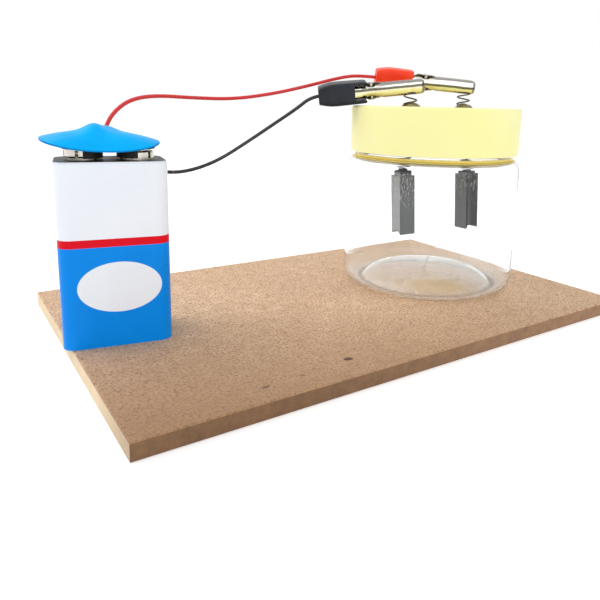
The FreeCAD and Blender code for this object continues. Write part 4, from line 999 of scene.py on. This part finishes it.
# %% Carbon
def pressed_carbon(name, top, along_turn_tone, across_turn_tone, turn, worn_share):
    """Carbon whose two face pairs get a painted lit and a painted shaded tone by which way they face; worn bright near
    the top, glue-black on the head.
    """
    finish = Finish(name, Specular_IOR_Level=0.25)
    grain = finish.noise(1500.0, 5.0, 0.75)
    patch = finish.noise(170.0, 4.0)
    scratch = finish.noise(1.0, 4.0, 0.7, finish.stretched((1900.0, 1900.0, 750.0)))
    high = finish.axes()[2]
    nx, ny, _ = finish.facing()
    # Painted light and shade: the face pair along the turn takes one tone, the pair across it the other.
    ahead = (nx * math.cos(turn) + ny * math.sin(turn)).size()
    face = finish.colour(ahead.step(0.7, 0.1), across_turn_tone, along_turn_tone)
    near_top = (high - (top - 11 * mm)) / (11 * mm)
    flecks = scratch.step(0.64 - 0.07 * worn_share, 0.04) * (near_top + patch * 0.8 - 0.2).clamped() * worn_share
    dusty = finish.colour(flecks, face, rgb(206, 208, 206))
    head = high.step(top - 0.3 * mm, 0.3 * mm)
    finish.wear(Base_Color=finish.colour(head, dusty, rgb(26, 26, 28)), Roughness=patch * 0.25 + 0.3,
                Normal=finish.bump(grain * 0.5 + patch * 0.5, 0.00012))
    return finish.material


head_high = 1.8 * mm
left_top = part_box("left_electrode")[1][2] - head_high
right_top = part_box("right_electrode")[1][2] - head_high
# Painted light and shade: the left block's faces across its turn are painted lit, the right block's are painted in deep
# shade.
dress(pressed_carbon("carbon_left", left_top, rgb(92, 94, 97), rgb(150, 153, 154), math.radians(78.0), 1.0),
      "left_electrode")
dress(pressed_carbon("carbon_right", right_top, rgb(98, 100, 102), rgb(14, 15, 18), math.radians(-3.0), 0.75),
      "right_electrode")

# %% Glue
def cured_glue():
    """Khaki, lumpy and glossy."""
    finish = Finish("glue", Subsurface_Weight=0.2, Subsurface_Radius=(0.003, 0.0025, 0.001), Coat_Weight=0.5,
                    Coat_Roughness=0.15)
    lumps = finish.noise(700.0, 3.0)
    finish.wear(Base_Color=finish.colour(lumps.step(0.5, 0.3), rgb(62, 54, 30), rgb(156, 142, 84)),
                Roughness=lumps * 0.2 + 0.25, Normal=finish.bump(lumps, 0.0003))
    return finish.material


dress(cured_glue(), "left_glue", "right_glue")

# %% [markdown]
# ## The fibre board
# Fibre board is ground wood pressed flat: its face is an even tan with fine grain and short dark fibres that
# lie every way, with a chip of bark here and there. Painted shade darkens its near end. The long edges are
# dark brown, lighter further from the near corner, and the short ones are pale and furry, darker towards the front.

# %% Board
bark_chips = ((-24.5, -41.7, 1.1, 0.9), (-48.7, -43.9, 0.7, 0.6), (-38.4, -43.4, 0.45, 0.5), (20.0, -24.0, 0.45, 0.6))


def fibre_board():
    """Tan face with fibres and bark and painted shade over its near end; darker long edges, pale short edges."""
    finish = Finish("board_fibre", Specular_IOR_Level=0.3, Sheen_Weight=0.12, Sheen_Roughness=0.4)
    x, y, _ = finish.axes()
    nx, _, nz = finish.facing()
    cloud = finish.noise(22.0, 3.0)
    pulp = finish.noise(260.0, 6.0, 0.7)
    fine = finish.noise(1500.0, 4.0, 0.7)
    tan = finish.colour((pulp * 0.7 + cloud * 0.3).step(0.5, 0.28), rgb(206, 166, 128), rgb(238, 202, 166))
    grainy = finish.colour(fine.step(0.44, 0.13), rgb(150, 112, 82), tan)
    warp = finish.node("ShaderNodeTexNoise", {}, {"Vector": finish.place(), "Scale": 120.0, "Detail": 2.0})
    bent = finish.node("ShaderNodeVectorMath", {"operation": "MULTIPLY_ADD"},
                       {0: warp.outputs["Color"], 1: (0.004, 0.004, 0.0), 2: finish.place()})
    fibres = finish.noise(1.0, 2.0, 0.5, finish.stretched((330.0, 1500.0, 0.0), bent.outputs[0]))
    others = finish.noise(1.0, 2.0, 0.5, finish.stretched((1500.0, 360.0, 0.0), bent.outputs[0]))
    dark = 1 - fibres.lower(others).step(0.32, 0.05)
    # Painted shade: the face darkens towards its near corner.
    near_corner_shade = 1 - ((y + x * 0.35 + 72 * mm) / (62 * mm)).clamped()
    unshaded_face = finish.colour(dark * 0.62, grainy, rgb(96, 66, 46))
    face = finish.colour(near_corner_shade * 0.85, unshaded_face, finish.colour(fine, rgb(118, 84, 54), rgb(172, 132, 94)))
    ragged = finish.noise(700.0, 3.0) * 2.6 * mm
    for across, back, half, deep in bark_chips:
        dx = x - across * mm
        dy = (y - back * mm) * 1.25
        chip = 1 - ((dx * dx + dy * dy).root() + ragged).step((half + 1.3) * mm, 0.35 * mm)
        face = finish.colour(chip * deep, face, rgb(66, 42, 32))
    mottled = pulp.step(0.5, 0.55)
    # The long edges run from dark brown at the near corner to a lighter brown; the short ones are pale, darker towards
    # the front.
    dark_edge_tone = finish.colour(mottled, rgb(106, 76, 52), rgb(144, 108, 76))
    lighter = finish.colour(mottled, rgb(134, 98, 70), rgb(190, 150, 114))
    sawn = finish.colour(((x + 40 * mm) / (90 * mm)).clamped() * 0.8, dark_edge_tone, lighter)
    cream = finish.colour(pulp, rgb(226, 196, 154), rgb(248, 226, 190))
    pale = finish.colour(((y + 26 * mm) / (-34 * mm)).clamped() * 0.75, cream, dark_edge_tone)
    short_side = nx.size().step(0.7, 0.2)
    edge = finish.colour(short_side, sawn, pale)
    flat = nz.size().step(0.6, 0.2)
    finish.wear(Base_Color=finish.colour(flat, edge, face), Roughness=pulp * 0.25 + 0.5,
                Normal=finish.bump(fine * 0.4 + pulp * 0.6 - dark * 0.3, 0.00025))
    return finish.material


dress(fibre_board(), "base_board")

# %% [markdown]
# ## Floor, world and lamps
# The floor still takes the board's soft shadow. A broad lamp from the upper left gives form, and a weaker
# one fills.

# %% White as the camera, the metal and the jar see it
def seen_directly(finish):
    path = finish.node("ShaderNodeLightPath")
    seen = [Amount(finish, path.outputs[name]) for name in
            ("Is Camera Ray", "Is Glossy Ray", "Is Transmission Ray")]
    return (seen[0] + seen[1] + seen[2]).clamped()


# %% Floor
def white_floor():
    """White paper that glows a little where it is seen directly."""
    finish = Finish("floor_white", Specular_IOR_Level=0.05)
    grain = finish.noise(30.0, 2.0)
    finish.wear(Base_Color=finish.colour(grain, (0.8, 0.8, 0.8, 1), (0.84, 0.84, 0.84, 1)), Roughness=grain * 0.1 + 0.8)
    glow = finish.node("ShaderNodeEmission", {}, {"Color": (1, 1, 1, 1), "Strength": seen_directly(finish) * 0.42})
    both = finish.node("ShaderNodeAddShader", {}, {0: finish.shader.outputs[0], 1: glow.outputs[0]})
    finish.tree.links.new(both.outputs[0], finish.tree.nodes["Material Output"].inputs["Surface"])
    return finish.material


reach = 3.0
floor = new_mesh("floor", [(-reach, -reach, 0), (reach, -reach, 0), (reach, reach, 0), (-reach, reach, 0)],
                 [(0, 1, 2, 3)], smooth=False)
floor.location.z = -0.0002
floor.data.materials.append(white_floor())
print("floor", floor.dimensions[:2])

# %% World
class Sky:
    node = Finish.node

    def __init__(self, name):
        self.world = bpy.data.worlds.new(name)
        self.world.use_nodes = True
        self.tree = self.world.node_tree


sky = Sky("white_room")
bpy.context.scene.world = sky.world
room_light = 0.78
strength = seen_directly(sky) * (1.0 - room_light) + room_light
background = sky.tree.nodes["Background"]
background.inputs["Color"].default_value = (1.0, 1.0, 1.0, 1.0)
sky.tree.links.new(strength.socket, background.inputs["Strength"])

# %% Lamps
def lamp(name, place, aim, width, power):
    """A square lamp of the given width in metres and power in watts, turned to its aim."""
    data = bpy.data.lights.new(name, "AREA")
    data.size = width
    data.energy = power
    light = bpy.data.objects.new(name, data)
    bpy.context.scene.collection.objects.link(light)
    light.location = place
    light.rotation_euler = (Vector(aim) - Vector(place)).to_track_quat("-Z", "Y").to_euler()
    return light


lamp("key", (-0.45, 0.45, 0.6), (0, 0.02, 0.03), 0.8, 3.6)
lamp("fill", (-0.1, -0.8, 0.4), (0, 0, 0.03), 0.8, 1.8)
bpy.context.scene.view_settings.view_transform = "Standard"
